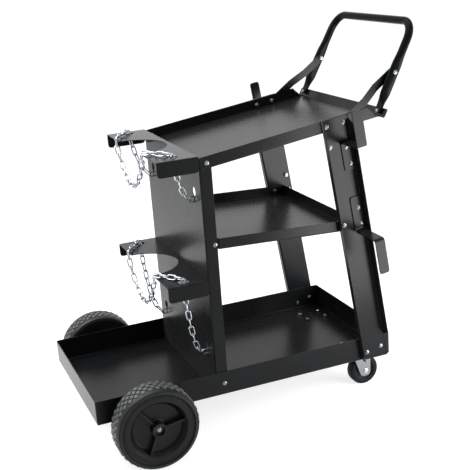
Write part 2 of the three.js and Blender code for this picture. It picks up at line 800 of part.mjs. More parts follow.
function saddle() {
  const top = trayBottom - FIT;
  const inner = axleRadius + FIT;
  const foot = 4 * axleRadius;
  const low = wheelRadius - inner;
  const path = [[-foot, top], [-inner, top], [-inner, low], [inner, low], [inner, top], [foot, top]];
  const section = foldedSection(path, SADDLE_STOCK, axleRadius + SADDLE_STOCK, -1);
  return alongY(section, -SADDLE_WIDTH / 2, SADDLE_WIDTH / 2, 3);
}

[['near', -1], ['far', 1]].forEach(([name, side]) => {
  add(`${name}_axle_saddle`, saddle(), ZINC).position.set(wheelX, side * SADDLE_Y, 0);
});

/** A ring on the axle between two distances from the cart's middle. */
function axleRing(outer, from, to) {
  const bore = axleRadius + FIT;
  return revolved([[bore, from], [outer, from], [outer, to], [bore, to]], ROD_FACETS);
}

/** A flat spring nut whose inner teeth grip the axle, standing on a distance from the cart's middle. */
function pushNut(from) {
  const grip = axleRadius + FIT;
  const root = (grip + BOSS_RECESS_DIAMETER / 2) / 2;
  const nut = circle(BOSS_RECESS_DIAMETER / 2 - FIT);
  const corners = Array.from({ length: 2 * PUSH_NUT_TEETH }, (unused, k) => {
    const angle = (k / PUSH_NUT_TEETH) * Math.PI;
    const reach = k % 2 === 0 ? root : grip / Math.cos(Math.PI / PUSH_NUT_TEETH);
    return [reach * Math.cos(angle), reach * Math.sin(angle)];
  });
  nut.holes.push(outline(corners, 0));
  return alongY(nut, from, from + PUSH_NUT_STOCK, 8);
}

// Large wheels: rubber tyre on a dished plastic hub with three ribs, turning on a nylon bush

function tyre() {
  const half = TYRE_WIDTH / 2;
  const seat = wheelRadius - TYRE_DEPTH;
  const shoulder = wheelRadius - TYRE_SHOULDER / 3;
  const side = [
    [wheelRadius, half - TYRE_SHOULDER],
    [shoulder, half - TYRE_SHOULDER / 4],
    [seat + TYRE_DEPTH / 2, half],
    [seat, half - TYRE_SHOULDER / 4],
  ];
  const otherSide = side.map(([r, y]) => [r, -y]).reverse();
  return revolved([...side, ...otherSide], WHEEL_FACETS);
}

function wheelHub() {
  const rim = wheelRadius - TYRE_DEPTH - FIT / Math.cos(Math.PI / WHEEL_FACETS);
  const face = TYRE_WIDTH / 2 - TYRE_SHOULDER / 4;
  const boss = BOSS_DIAMETER / 2;
  const recess = BOSS_RECESS_DIAMETER / 2;
  const bore = axleRadius + BUSH_WALL + 2 * FIT;
  const dish = DISH_DIAMETER / 2;
  const floor = TYRE_WIDTH / 2 - DISH_DEPTH;
  const back = floor - HUB_WALL;
  const inner = bossInner - wheelMid;
  const outer = bossOuter - wheelMid;
  const profile = [
    [bore, inner],
    [boss, inner],
    [boss, back],
    [rim - HUB_WALL, back],
    [rim - HUB_WALL, -face],
    [rim, -face],
    [rim, face],
    [dish, face],
    [dish - DISH_SLOPE, floor],
    [boss, floor],
    [boss, outer],
    [recess, outer],
    [recess, recessFloor - wheelMid],
    [bore, recessFloor - wheelMid],
  ];
  const body = revolved(profile, WHEEL_FACETS);
  const ribs = Array.from({ length: HUB_RIBS }, (unused, k) => {
    const low = [(boss + recess) / 2, floor - HUB_WALL / 2, -RIB_THICKNESS / 2];
    const rib = box(low, [dish - DISH_SLOPE / 4, face - RIB_DROP, RIB_THICKNESS / 2]);
    return rib.rotateY((k / HUB_RIBS) * Math.PI * 2 + rad(RIB_TURN));
  });
  return join(body, ...ribs);
}

function bush() {
  const inner = bossInner - wheelMid;
  const outer = recessFloor - wheelMid;
  const bore = axleRadius + FIT;
  const wall = bore + BUSH_WALL;
  return revolved([[bore, inner], [wall, inner], [wall, outer], [bore, outer]], ROD_FACETS);
}

const tyreGeometry = tyre();
const hubGeometry = wheelHub();
[['near', -1], ['far', 1]].forEach(([name, side]) => {
  const wheel = new THREE.Group();
  wheel.position.set(wheelX, side * wheelMid, wheelRadius);
  if (side < 0) wheel.rotation.z = Math.PI;
  cart.add(wheel);
  add(`${name}_tyre`, tyreGeometry.clone(), RUBBER, wheel);
  add(`${name}_wheel_hub`, hubGeometry.clone(), PLASTIC, wheel);
  add(`${name}_wheel_bush`, bush(), NYLON, wheel);
  const fixed = new THREE.Group();
  fixed.position.set(wheelX, 0, wheelRadius);
  if (side < 0) fixed.rotation.z = Math.PI;
  cart.add(fixed);
  add(`${name}_axle_spacer`, axleRing(axleRadius + 5, halfWidth + FIT, bossInner - FIT), ZINC, fixed);
  add(`${name}_push_nut`, pushNut(recessFloor + FIT), ZINC, fixed);
});

// Swivel casters

const plateTop = trayBottom - FIT;
const plateLow = plateTop - 3;
const crownTop = plateLow - 6;
const casterRadius = CASTER_DIAMETER / 2;
const forkInner = CASTER_WIDTH / 2 + 4;

function casterPlate() {
  const plate = alongZ(rectangle(CASTER_PLATE_LENGTH, CASTER_PLATE_WIDTH, 6), plateLow, plateTop);
  const race = revolvedZ([
    [0, plateLow + 1],
    [RACE_DIAMETER / 2, plateLow + 1],
    [RACE_DIAMETER / 2 - 3, crownTop + FIT],
    [0, crownTop + FIT],
  ], ROD_FACETS);
  const slots = [[-1, -1], [-1, 1], [1, -1], [1, 1]].map(([sx, sy]) => {
    const centre = [sx * (CASTER_PLATE_LENGTH / 2 - 8), sy * (CASTER_PLATE_WIDTH / 2 - 9)];
    return alongZ(rectangle(7, 11, 3.4, centre), plateLow - 1, plateTop + 1, 2);
  });
  const pin = alongZ(circle(KINGPIN_DIAMETER / 2 + FIT), 0, plateTop + 1, ROD_FACETS / 2);
  return cut(join(plate, race), pin, ...slots);
}

function kingpin() {
  const shank = KINGPIN_DIAMETER / 2;
  const headTop = crownTop - CASTER_STOCK - FIT;
  return revolvedZ([
    [0, plateTop],
    [shank, plateTop],
    [shank, headTop],
    [shank + 4, headTop],
    [shank + 2, headTop - 3],
    [0, headTop - 3],
  ], ROD_FACETS);
}

function casterFork() {
  const outer = forkInner + CASTER_STOCK;
  const low = casterRadius - 14;
  const path = [[-outer, low], [-outer, crownTop], [outer, crownTop], [outer, low]];
  const folded = alongX(foldedSection(path, CASTER_STOCK, 2 * CASTER_STOCK, -1), -CASTER_DIAMETER, CASTER_DIAMETER, 2);
  const crown = RACE_DIAMETER / 2;
  const side = outline([
    [-KINGPIN_DIAMETER - 3, crownTop + 1],
    [-KINGPIN_DIAMETER - 3, crownTop - 8],
    [CASTER_TRAIL - 13, low],
    [CASTER_TRAIL + 13, low],
    [CASTER_TRAIL + 15, crownTop - 16],
    [crown, crownTop + 1],
  ], [0, 6, 12, 12, 14, 0]);
  const shaped = common(folded, alongY(side, -outer - 1, outer + 1, 3));
  const pin = alongZ(circle(KINGPIN_DIAMETER / 2 + FIT), crownTop - 10, crownTop + 1, ROD_FACETS / 2);
  const axleHole = alongY(circle(CASTER_AXLE / 2 + FIT, [CASTER_TRAIL, casterRadius]), -outer - 1, outer + 1, ROD_FACETS / 2);
  return cut(shaped, pin, axleHole);
}

function casterAxle() {
  const shank = CASTER_AXLE / 2;
  const face = forkInner + CASTER_STOCK + FIT;
  const pin = new THREE.CylinderGeometry(shank, shank, 2 * face + 2, ROD_FACETS);
  const ends = [-1, 1].map((side) => {
    return new THREE.CylinderGeometry(CASTER_AXLE * 0.85, CASTER_AXLE * 0.85, 4, 6).translate(0, side * (face + 2), 0);
  });
  return join(pin, ...ends);
}

function casterTyre() {
  const half = CASTER_WIDTH / 2;
  const seat = casterRadius - CASTER_TYRE_DEPTH;
  const round = CASTER_TYRE_DEPTH / 3;
  const side = [
    [casterRadius, half - 1.5 * round],
    [casterRadius - round, half],
    [seat, half],
  ];
  return revolved([...side, ...side.map(([r, y]) => [r, -y]).reverse()], CASTER_FACETS);
}

function casterCore() {
  const half = CASTER_WIDTH / 2 - FIT;
  const rim = casterRadius - CASTER_TYRE_DEPTH - FIT / Math.cos(Math.PI / CASTER_FACETS);
  const bore = CASTER_AXLE / 2 + FIT;
  const boss = 2 * bore;
  const web = CASTER_WIDTH / 4;
  const side = [
    [bore, forkInner - FIT],
    [boss, forkInner - FIT],
    [boss, web],
    [rim - CASTER_STOCK, web],
    [rim, half],
  ];
  return revolved([...side, ...side.map(([r, y]) => [r, -y]).reverse()], CASTER_FACETS);
}

const casterX = rightEnd - CASTER_X_INSET;
[['near', -1], ['far', 1]].forEach(([name, side]) => {
  const caster = new THREE.Group();
  caster.position.set(casterX, side * CASTER_Y, 0);
  cart.add(caster);
  add(`${name}_caster_plate`, casterPlate(), ZINC, caster);
  add(`${name}_caster_kingpin`, kingpin(), ZINC, caster);
  add(`${name}_caster_fork`, casterFork(), ZINC, caster);
  const wheel = new THREE.Group();
  wheel.position.set(CASTER_TRAIL, 0, casterRadius);
  caster.add(wheel);
  add(`${name}_caster_axle`, casterAxle(), ZINC, wheel);
  add(`${name}_caster_tyre`, casterTyre(), RUBBER, wheel);
  add(`${name}_caster_core`, casterCore(), PLASTIC, wheel);
});

// Cylinder chains: real oval links, each gripping the next where their wires cross

/** One oval link between two pivots, lying in the plane square to the given normal. */
function link(from, to, normal) {
  const along = to.clone().sub(from).normalize();
  const flat = normal.clone().addScaledVector(along, -normal.dot(along)).normalize();
  const across = flat.clone().cross(along);
  const middle = from.clone().add(to).multiplyScalar(0.5);
  const straight = from.distanceTo(to) / 2 + linkReach - linkRadius;
  const rings = [];
  const blunt = 1 / Math.cos(Math.PI / LINK_BEND_STEPS / 2);
  [1, -1].forEach((end) => {
    for (let k = 0; k <= LINK_BEND_STEPS; k += 1) {
      const angle = (k / LINK_BEND_STEPS - 0.5) * Math.PI;
      const out = along.clone().multiplyScalar(end * Math.cos(angle));
      out.addScaledVector(across, end * Math.sin(angle));
      const reach = k === 0 || k === LINK_BEND_STEPS ? linkRadius : linkRadius * blunt;
      const centre = middle.clone().addScaledVector(along, end * straight).addScaledVector(out, reach);
      rings.push(wireSection.map(([outwards, sideways]) => {
        return centre.clone().addScaledVector(out, outwards).addScaledVector(flat, sideways);
      }));
    }
  });
  return closedTube(rings);
}

/** Skins rings of points into a tube that closes on itself. */
function closedTube(rings) {
  const count = rings[0].length;
  const positions = rings.flat().flatMap((point) => point.toArray());
  const index = [];
  rings.forEach((unused, ring) => {
    const low = ring * count;
    const high = ((ring + 1) % rings.length) * count;
    for (let i = 0; i < count; i += 1) {
      const next = (i + 1) % count;
      index.push(low + i, low + next, high + next, low + i, high + next, high + i);
    }
  });
  const geometry = new THREE.BufferGeometry();
  geometry.setAttribute('position', new THREE.Float32BufferAttribute(positions, 3));
  geometry.setIndex(index);
  return outward(geometry);
}

/** Links through a list of pivots, each link turned a quarter from the one before. */
function strand(pivots, normal, firstQuarter) {
  return pivots.slice(1).map((pivot, i) => {
    const along = pivot.clone().sub(pivots[i]).normalize();
    const turn = firstQuarter + i * (Math.PI / 2);
    return link(pivots[i], pivot, normal.clone().applyAxisAngle(along, turn));
  });
}

/** Evenly spaced points on a straight line, both ends included. */
function straightPivots(from, to, count) {
  return Array.from({ length: count + 1 }, (unused, k) => from.clone().lerp(to, k / count));
}

/** Solves the catenary that hangs a given length between two points, for its parameter. */
function catenaryParameter(span, rise, length) {
  const target = Math.sqrt(length ** 2 - rise ** 2);
  let low = span / 40;
  let high = span * 40;
  for (let k = 0; k < 80; k += 1) {
    const trial = (low + high) / 2;
    if (2 * trial * Math.sinh(span / (2 * trial)) > target) low = trial;
    else high = trial;
  }
  return (low + high) / 2;
}

/** Pivots spaced evenly along a chain that hangs freely between two points. */
function hangingPivots(from, to, count, length) {
  const level = to.clone().sub(from).setZ(0);
  const span = level.length();
  const rise = to.z - from.z;
  const a = catenaryParameter(span, rise, length);
  const lowest = span / 2 - a * Math.atanh(rise / length);
  return Array.from({ length: count + 1 }, (unused, k) => {
    const arc = (length * k) / count;
    const run = lowest + a * Math.asinh(arc / a - Math.sinh(lowest / a));
    const z = from.z + a * (Math.cosh((run - lowest) / a) - Math.cosh(lowest / a));
    return from.clone().addScaledVector(level, run / span).setZ(z);
  });
}

/** The fixed end of a chain on the near side: over the plate, down its hole and into the panel's keyhole. */
function chainTail({ hole, edge, slot, tailLinks }) {
  const up = new THREE.Vector3(0, 0, 1);
  const eighth = Math.PI / 4;
  const lay = strand(straightPivots(edge, hole, LAY_LINKS), up, eighth);
  const square = slot.clone().sub(hole).cross(up).normalize();
  const fall = strand(hangingPivots(hole, slot, tailLinks, tailLinks * LINK_PITCH), square, eighth);
  const hang = link(edge, edge.clone().setZ(edge.z - LINK_PITCH), new THREE.Vector3(1, 0, 0));
  const behind = slot.clone().setX(slot.x + LINK_PITCH);
  const held = link(slot, behind, new THREE.Vector3(0, 1, 0));
  const stop = link(behind, behind.clone().setZ(behind.z - LINK_PITCH), new THREE.Vector3(1, 0, 0));
  return join(...lay, ...fall, hang, held, stop);
}

/** The hinge line of a hanging loop: the lower wire of the link that hangs over the cradle's edge. */
function loopHinge({ edge }) {
  return new THREE.Vector3(edge.x, edge.y, edge.z - LINK_PITCH - linkReach);
}

/** The free loop between the cradle's two arms, hanging in a catenary. */
function chainLoop(places) {
  const hinge = loopHinge(places);
  const topZ = hinge.z + WIRE + 2 * FIT - linkReach;
  const start = new THREE.Vector3(hinge.x, hinge.y, topZ);
  const end = new THREE.Vector3(hinge.x, -hinge.y, topZ);
  const pivots = hangingPivots(start, end, LOOP_LINKS, LOOP_LINKS * LINK_PITCH);
  return join(...strand(pivots, new THREE.Vector3(1, 0, 0), Math.PI / 2));
}

[['upper', upperChain], ['lower', lowerChain]].forEach(([name, places]) => {
  const tail = chainTail(places);
  add(`${name}_chain_near_end`, tail, ZINC);
  add(`${name}_chain_far_end`, mirrored(tail), ZINC);
  add(`${name}_chain_loop`, chainLoop(places), ZINC);
});

// Origin on the ground, under the middle of the whole cart

cart.updateMatrixWorld(true);
const extent = new THREE.Box3().setFromObject(cart, true);
const middle = extent.getCenter(new THREE.Vector3());
cart.position.set(-middle.x, -middle.y, -extent.min.z);

export default cart;
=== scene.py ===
"""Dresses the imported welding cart: finer shapes, finishes, fasteners, chains, studio and camera."""

import json
import logging
import math
from dataclasses import dataclass, field
from enum import Enum
from functools import cache
from itertools import product
from typing import Any, Iterable, Sequence

import bmesh
import bpy
from bmesh.types import BMesh
from bpy.types import GeometryNodeTree, Material, Mesh, Node, NodeSocket, NodeTree, Object
from mathutils import Matrix, Quaternion, Vector

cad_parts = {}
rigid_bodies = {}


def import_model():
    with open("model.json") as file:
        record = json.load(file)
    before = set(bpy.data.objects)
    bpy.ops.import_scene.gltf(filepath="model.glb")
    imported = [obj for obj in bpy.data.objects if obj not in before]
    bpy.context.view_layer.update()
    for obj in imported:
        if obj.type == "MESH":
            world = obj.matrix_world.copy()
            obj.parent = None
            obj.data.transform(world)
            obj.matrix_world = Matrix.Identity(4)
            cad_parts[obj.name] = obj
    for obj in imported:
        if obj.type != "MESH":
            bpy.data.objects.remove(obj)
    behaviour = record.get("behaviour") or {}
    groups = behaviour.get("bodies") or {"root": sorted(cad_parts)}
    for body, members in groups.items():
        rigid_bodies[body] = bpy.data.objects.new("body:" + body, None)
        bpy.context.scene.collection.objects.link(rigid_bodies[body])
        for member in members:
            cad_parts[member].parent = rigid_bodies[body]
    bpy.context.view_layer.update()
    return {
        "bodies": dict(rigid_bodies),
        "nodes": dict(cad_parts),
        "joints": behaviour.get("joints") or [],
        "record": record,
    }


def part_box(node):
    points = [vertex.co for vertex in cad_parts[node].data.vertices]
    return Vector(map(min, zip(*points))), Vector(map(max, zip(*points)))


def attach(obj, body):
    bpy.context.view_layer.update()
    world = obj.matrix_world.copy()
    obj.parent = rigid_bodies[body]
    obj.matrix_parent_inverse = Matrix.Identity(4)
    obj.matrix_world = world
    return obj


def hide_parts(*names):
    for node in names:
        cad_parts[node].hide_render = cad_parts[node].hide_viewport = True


log = logging.getLogger("welding_cart")

Point2 = tuple[float, float]
Point3 = tuple[float, float, float]

MM = 0.001
WELD = 0.001 * MM
# The handle and the flange that it stands on lean out by this much.
LEAN = math.radians(28.7)
ORIGIN = Vector((0, 0, 0)).freeze()
ALONG = Vector((1, 0, 0)).freeze()
ACROSS = Vector((0, 1, 0)).freeze()
UP = Vector((0, 0, 1)).freeze()


class Body(Enum):
    """The moving bodies that a piece can ride on."""

    FRAME = "frame"
    NEAR_WHEEL = "near_wheel"
    FAR_WHEEL = "far_wheel"
    NEAR_CASTER = "near_caster"
    FAR_CASTER = "far_caster"
    NEAR_CASTER_WHEEL = "near_caster_wheel"
    FAR_CASTER_WHEEL = "far_caster_wheel"
    UPPER_LOOP = "upper_loop"
    LOWER_LOOP = "lower_loop"


class Side(Enum):
    """The cart's two sides, by the sign of Y there."""

    NEAR = -1
    FAR = 1

    @property
    def word(self) -> str:
        """Give the word that starts the names of this side's pieces."""
        return self.name.lower()

    def body(self, kind: str) -> Body:
        """Give this side's body of a kind, such as wheel."""
        return Body(f"{self.word}_{kind}")


class Slot(Enum):
    """The finishes that a scene can repaint."""

    POWDER_COAT = "powder_coat"
    ZINC = "zinc"
    TYRE_RUBBER = "tyre_rubber"
    CASTER_RUBBER = "caster_rubber"
    HUB_PLASTIC = "hub_plastic"
    BUSH_NYLON = "bush_nylon"


def linear(code: str) -> tuple[float, float, float, float]:
    """Turn an sRGB hex value into linear colour.

    Args:
        code: A hash sign and six hex digits.

    Returns:
        Red, green, blue and alpha, linear.
    """
    parts = [int(code[i:i + 2], 16) / 255 for i in (1, 3, 5)]
    red, green, blue = [c / 12.92 if c <= 0.04045 else ((c + 0.055) / 1.055) ** 2.4 for c in parts]
    return red, green, blue, 1.0


def add(tree: NodeTree, kind: str, inputs: dict | Sequence = (), **settings: Any) -> Node:
    """Add a node with its settings, and set or link its inputs.

    Args:
        tree: The node tree that takes the node.
        kind: The node's type name.
        inputs: Values, sockets or nodes, which give their first output, in order or by input.
        **settings: Properties of the node itself.

    Returns:
        The new node.
    """
    node = tree.nodes.new(kind)
    for key, value in settings.items():
        setattr(node, key, value)
    for key, value in inputs.items() if isinstance(inputs, dict) else enumerate(inputs):
        if isinstance(value, Node):
            value = value.outputs[0]
        if isinstance(value, NodeSocket):
            tree.links.new(value, node.inputs[key])
        else:
            node.inputs[key].default_value = value
    return node


@dataclass(frozen=True)
class Finish:
    """A finish: patches in which tone and gloss drift together, and a grain that stands out.

    Patches and grain are sized in millimetres. The relief is the grain's strength, and its height in
    millimetres.
    """

    name: str = "finish"
    slot: Slot = Slot.POWDER_COAT
    dark: str = "#000000"
    pale: str = "#ffffff"
    patch: float = 10.0
    patch_detail: float = 2.0
    gloss: Point2 = (0.4, 0.5)
    grain: float = 0.0
    grain_detail: float = 1.0
    relief: Point2 = (0.0, 0.0)
    metal: bool = False
    ior: float = 1.5
    shine: float = 0.5
    sheen: float = 0.0
    sheen_spread: float = 0.3

    @cache
    def material(self) -> Material:
        """Make the finish's material when it is first asked for.

        Returns:
            The one material of this finish.
        """
        made = bpy.data.materials.new(self.name)
        made.use_nodes = True
        tree = made.node_tree
        tree.nodes.clear()
        place = add(tree, "ShaderNodeTexCoord").outputs["Object"]
        drift = {"Vector": place, "Scale": 1 / (self.patch * MM), "Detail": self.patch_detail}
        patches = add(tree, "ShaderNodeTexNoise", drift)
        # A Mix node's colours go by number: 6 and 7 are mixed by 0 into output 2.
        tones = {0: patches, 6: linear(self.dark), 7: linear(self.pale)}
        tone = add(tree, "ShaderNodeMix", tones, data_type="RGBA")
        low, high = self.gloss
        gloss = add(tree, "ShaderNodeMapRange", {"Value": patches, "To Min": low, "To Max": high})
        skin = {"Base Color": tone.outputs[2], "Roughness": gloss, "Metallic": float(self.metal)}
        if not self.metal:
            skin |= {"IOR": self.ior, "Specular IOR Level": self.shine}
            skin |= {"Sheen Weight": self.sheen, "Sheen Roughness": self.sheen_spread}
        if self.grain:
            fine = {"Vector": place, "Scale": 1 / (self.grain * MM), "Detail": self.grain_detail}
            grain = add(tree, "ShaderNodeTexNoise", fine)
            strength, height = self.relief
            relief = {"Height": grain, "Strength": strength, "Distance": height * MM}
            skin["Normal"] = add(tree, "ShaderNodeBump", relief)
        add(tree, "ShaderNodeOutputMaterial", [add(tree, "ShaderNodeBsdfPrincipled", skin)])
        return made


@dataclass(frozen=True)
class PowderCoat(Finish):
    """Black polyester powder coat, sprayed and baked: a satin skin with a fine peel and a soft, broad glare.

    The peel is drawn at about twice its real size, so that it shows as a slight softness of the glare. The
    powder catches light at a low angle, so a sheen turns flat faces grey there.
    """

    name: str = "black_powder_coat"
    dark: str = "#0b0c0d"
    pale: str = "#101112"
    patch: float = 45.0
    patch_detail: float = 3.0
    gloss: Point2 = (0.26, 0.29)
    grain: float = 1.6
    relief: Point2 = (0.25, 0.05)
    ior: float = 1.45
    shine: float = 0.15
    sheen: float = 0.085


@dataclass(frozen=True)
class BrightZinc(Finish):
    """Clear zinc plate on steel: bright, slightly blue metal with its glare broken by fine crystals."""

    name: str = "bright_zinc_plate"
    slot: Slot = Slot.ZINC
    dark: str = "#a2a6ab"
    pale: str = "#c6cad0"
    patch: float = 2.5
    gloss: Point2 = (0.18, 0.34)
    metal: bool = True


@dataclass(frozen=True)
class Rubber(Finish):
    """Moulded rubber: dark grey and matt, with a fine bloom that pales it unevenly and a dry grain."""

    name: str = "moulded_tyre_rubber"
    slot: Slot = Slot.TYRE_RUBBER
    dark: str = "#0e0f10"
    pale: str = "#18191a"
    patch: float = 14.0
    patch_detail: float = 5.0
    gloss: Point2 = (0.37, 0.53)
    grain: float = 1.2
    grain_detail: float = 2.0
    relief: Point2 = (0.3, 0.08)
    shine: float = 0.26


@dataclass(frozen=True)
class MouldedPlastic(Finish):
    """Injection-moulded polypropylene: near black, with a spark-eroded grain that gives an even satin."""

    name: str = "moulded_hub_plastic"
    slot: Slot = Slot.HUB_PLASTIC
    dark: str = "#08090a"
    pale: str = "#0c0d0e"
    patch: float = 30.0
    gloss: Point2 = (0.36, 0.48)
    grain: float = 0.9
    relief: Point2 = (0.2, 0.04)
    ior: float = 1.49
    shine: float = 0.2


@dataclass(frozen=True)
class DrawnSteel(Finish):
    """Cold-drawn steel left bare under a film of oil: mid-grey metal with a dull, broad, uneven glare."""

    name: str = "drawn_steel"
    slot: Slot = Slot.ZINC
    dark: str = "#6f7174"
    pale: str = "#8d8f92"
    patch: float = 4.0
    patch_detail: float = 3.0
    gloss: Point2 = (0.32, 0.46)
    metal: bool = True


COAT = PowderCoat()
# A smoother powder on the tube: blacker, with a tighter glare and no grey at a low angle.
TUBE_COAT = PowderCoat(
    name="gloss_powder_coat", dark="#08090a", pale="#0c0d0e", gloss=(0.15, 0.2), shine=0.05, sheen=0.0)
ZINC = BrightZinc()
# Thinner plate on fasteners and caster pressings: greyer metal, so that they don't outshine the chains.
BOLT_ZINC = BrightZinc(name="dull_zinc_plate", dark="#707276", pale="#94979b")
TYRE = Rubber()
# Tread rubber in a paler grey than the dark sidewall: a painted highlight that stands for the light on the
# tread blocks.
TREAD = Rubber(
    name="worn_tread_rubber", dark="#303132", pale="#4c4e50", patch=9.0, gloss=(0.42, 0.58), shine=0.5)
# Solid caster rubber: dense and nearly black, with hardly any shine.
CASTER_TREAD = Rubber(
    name="caster_tread_rubber", slot=Slot.CASTER_RUBBER, dark="#060607", pale="#0b0b0c",
    patch=9.0, gloss=(0.42, 0.58), shine=0.12)
HUB = MouldedPlastic()
# Turned nylon: paler and rougher than the moulding beside it.
NYLON = MouldedPlastic(
    name="turned_nylon", slot=Slot.BUSH_NYLON, dark="#121314", pale="#191a1c", gloss=(0.44, 0.56))
STEEL = DrawnSteel()
# Spring steel under a black phosphate: a dark star round the brighter end of the axle.
SPRING_STEEL = DrawnSteel(name="phosphated_spring_steel", dark="#333537", pale="#4e5053")


def linked(name: str, data: Any) -> Object:
    """Make an object and put it in the scene.

    Args:
        name: The object's name.
        data: Its mesh, lamp or camera.

    Returns:
        The new object, at the origin.
    """
    made = bpy.data.objects.new(name, data)
    bpy.context.scene.collection.objects.link(made)
    return made


def smooth(mesh: Mesh, crease: float) -> Mesh:
    """Shade a mesh smooth, apart from its sharp edges.

    Args:
        mesh: The mesh.
        crease: The angle in degrees from which an edge stays sharp.

    Returns:
        The same mesh.
    """
    mesh.shade_smooth()
    mesh.set_sharp_from_angle(angle=math.radians(crease))
    return mesh


def piece(name: str, mesh: Mesh, finish: Finish, body: Body, *replaced: str) -> None:
    """Make a finished piece of a mesh and set it on its body.

    Args:
        name: The piece's name.
        mesh: Its mesh, in metres, in place.
        finish: What it is finished in.
        body: What it moves with.
        *replaced: The solids that it stands for.
    """
    made = linked(name, mesh)
    mesh.name = name
    mesh.materials.clear()
    mesh.materials.append(finish.material())
    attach(made, body.value)
    if replaced:
        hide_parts(*replaced)
    log.info("%s: %d faces in %s on %s", name, len(mesh.polygons), finish.name, body.value)


def seat(node: str) -> tuple[Vector, float]:
    """Find the middle of a solid's box in metres, and half its width across the cart in millimetres."""
    low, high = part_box(node)
    return (low + high) / 2, (high.y - low.y) / 2 / MM


def mesh_of(shape: BMesh, crease: float = 40.0) -> Mesh:
    """Turn a finished shape into a mesh, shaded smooth, and free the shape.

    Args:
        shape: The shape.
        crease: The angle in degrees from which an edge stays sharp.

    Returns:
        The mesh.
    """
    mesh = bpy.data.meshes.new("shape")
    shape.to_mesh(mesh)
    shape.free()
    return smooth(mesh, crease)


def evaluated(made: Object) -> Mesh:
    """Give the plain mesh that an object's modifiers make, and delete the object.

    Args:
        made: An object with modifiers.

    Returns:
        A mesh of its own.
    """
    bpy.context.view_layer.update()
    graph = bpy.context.evaluated_depsgraph_get()
    shape = made.evaluated_get(graph)
    mesh = bpy.data.meshes.new_from_object(shape, preserve_all_data_layers=True, depsgraph=graph)
    old = made.data
    bpy.data.objects.remove(made)
    if old.users == 0:
        bpy.data.meshes.remove(old)
    return mesh


def eased(nodes: dict[str, Object], name: str, width: float, crease: float = 50.0) -> Mesh:
    """Copy a solid with its sharp edges rounded, as deburring and paint do.

    Args:
        nodes: The frame's solids by name.
        name: The solid's name.
        width: The width of the rounding in millimetres.
        crease: The angle in degrees from which an edge is rounded.

    Returns:
        The rounded mesh.
    """
    shape = bmesh.new()
    shape.from_mesh(nodes[name].data)
    # The solid's loose triangles are joined into plain flat faces first.
    bmesh.ops.remove_doubles(shape, verts=shape.verts, dist=2 * WELD)
    bmesh.ops.dissolve_limit(shape, angle_limit=math.radians(0.3), verts=shape.verts, edges=shape.edges)
    mesh = bpy.data.meshes.new(name)
    shape.to_mesh(mesh)
    shape.free()
    mesh.shade_smooth()
    holder = linked("eased", mesh)
    bevel = holder.modifiers.new("edge", "BEVEL")
    bevel.width = width * MM
    bevel.segments = 2
    bevel.limit_method = "ANGLE"
    bevel.angle_limit = math.radians(crease)
    bevel.use_clamp_overlap = False
    bevel.harden_normals = True
    # Flat faces stay flat up to their bends, so that no glare runs across them at a slant.
    flat = holder.modifiers.new("flat", "WEIGHTED_NORMAL")
    flat.mode = "FACE_AREA"
    flat.weight = 50
    flat.keep_sharp = True
    return evaluated(holder)


def rounded(corners: Sequence[Point3], steps: int = 4) -> list[Point2]:
    """Round the corners of a closed outline.

    Args:
        corners: The outline's corners in order, each with its rounding, 0 for a sharp one.
        steps: Facets in each rounding.

    Returns:
        The rounded outline's points.
    """
    spots = [Vector(corner[:2]) for corner in corners]
    out: list[Point2] = []
    for i, here in enumerate(spots):
        radius = corners[i][2]
        before = spots[i - 1] - here
        after = spots[(i + 1) % len(spots)] - here
        turn = before.angle(after)
        # A sharp corner, or one that hardly turns, stays as it is.
        if radius <= 0 or turn > math.pi - 0.01:
            out.append((here.x, here.y))
            continue
        # A rounding takes just under half of each side, so that two never meet.
        reach = min(radius / math.tan(turn / 2), 0.49 * before.length, 0.49 * after.length)
        start = here + before.normalized() * reach
        end = here + after.normalized() * reach
        for k in range(steps + 1):
            t = k / steps
            spot = (1 - t) ** 2 * start + 2 * t * (1 - t) * here + t * t * end
            out.append((spot.x, spot.y))
    return out


def mirrored(half: Sequence[tuple]) -> list[tuple]:
    """Continue the upper half of a turned outline with its mirror image below."""
    return [*half, *((r, -h, *rounding) for r, h, *rounding in reversed(half))]


def lofted(rings: Sequence[Sequence[Vector]], closed: bool) -> BMesh:
    """Skin a row of rings.

    Args:
        rings: Rings of points in metres, all with the same number.
        closed: Whether the last ring joins the first. If not, both ends are capped.

    Returns:
        The shape, with its faces outwards.
    """
    shape = bmesh.new()
    rows = [[shape.verts.new(point) for point in ring] for ring in rings]
    if not closed:
        shape.faces.new(rows[0])
        shape.faces.new(rows[-1])
    for here, there in zip(rows, rows[1:] + rows[:1] if closed else rows[1:]):
        for i in range(len(here)):
            j = (i + 1) % len(here)
            shape.faces.new((here[i], there[i], there[j], here[j]))
    bmesh.ops.recalc_face_normals(shape, faces=shape.faces)
    return shape


def turned(profile: Sequence[Point2], segments: int, centre: Vector, axis: Vector) -> BMesh:
    """Turn a closed outline about an axis, as on a lathe.

    Args:
        profile: Points of radius and distance along the axis, in millimetres.
        segments: Facets round the axis.
        centre: The axis's zero point, in metres.
        axis: The axis's direction.

    Returns:
        The turned shape, in metres.
    """
    frame = axis.to_track_quat("Z", "Y").to_matrix()
    along = frame @ UP
    rings = []
    for k in range(segments):
        angle = 2 * math.pi * k / segments
        spoke = frame @ Vector((math.cos(angle), math.sin(angle), 0))
        rings.append([centre + (spoke * r + along * h) * MM for r, h in profile])
    shape = lofted(rings, closed=True)
    bmesh.ops.remove_doubles(shape, verts=shape.verts, dist=WELD)
    bmesh.ops.dissolve_degenerate(shape, edges=shape.edges, dist=WELD)
    bmesh.ops.recalc_face_normals(shape, faces=shape.faces)
    return shape


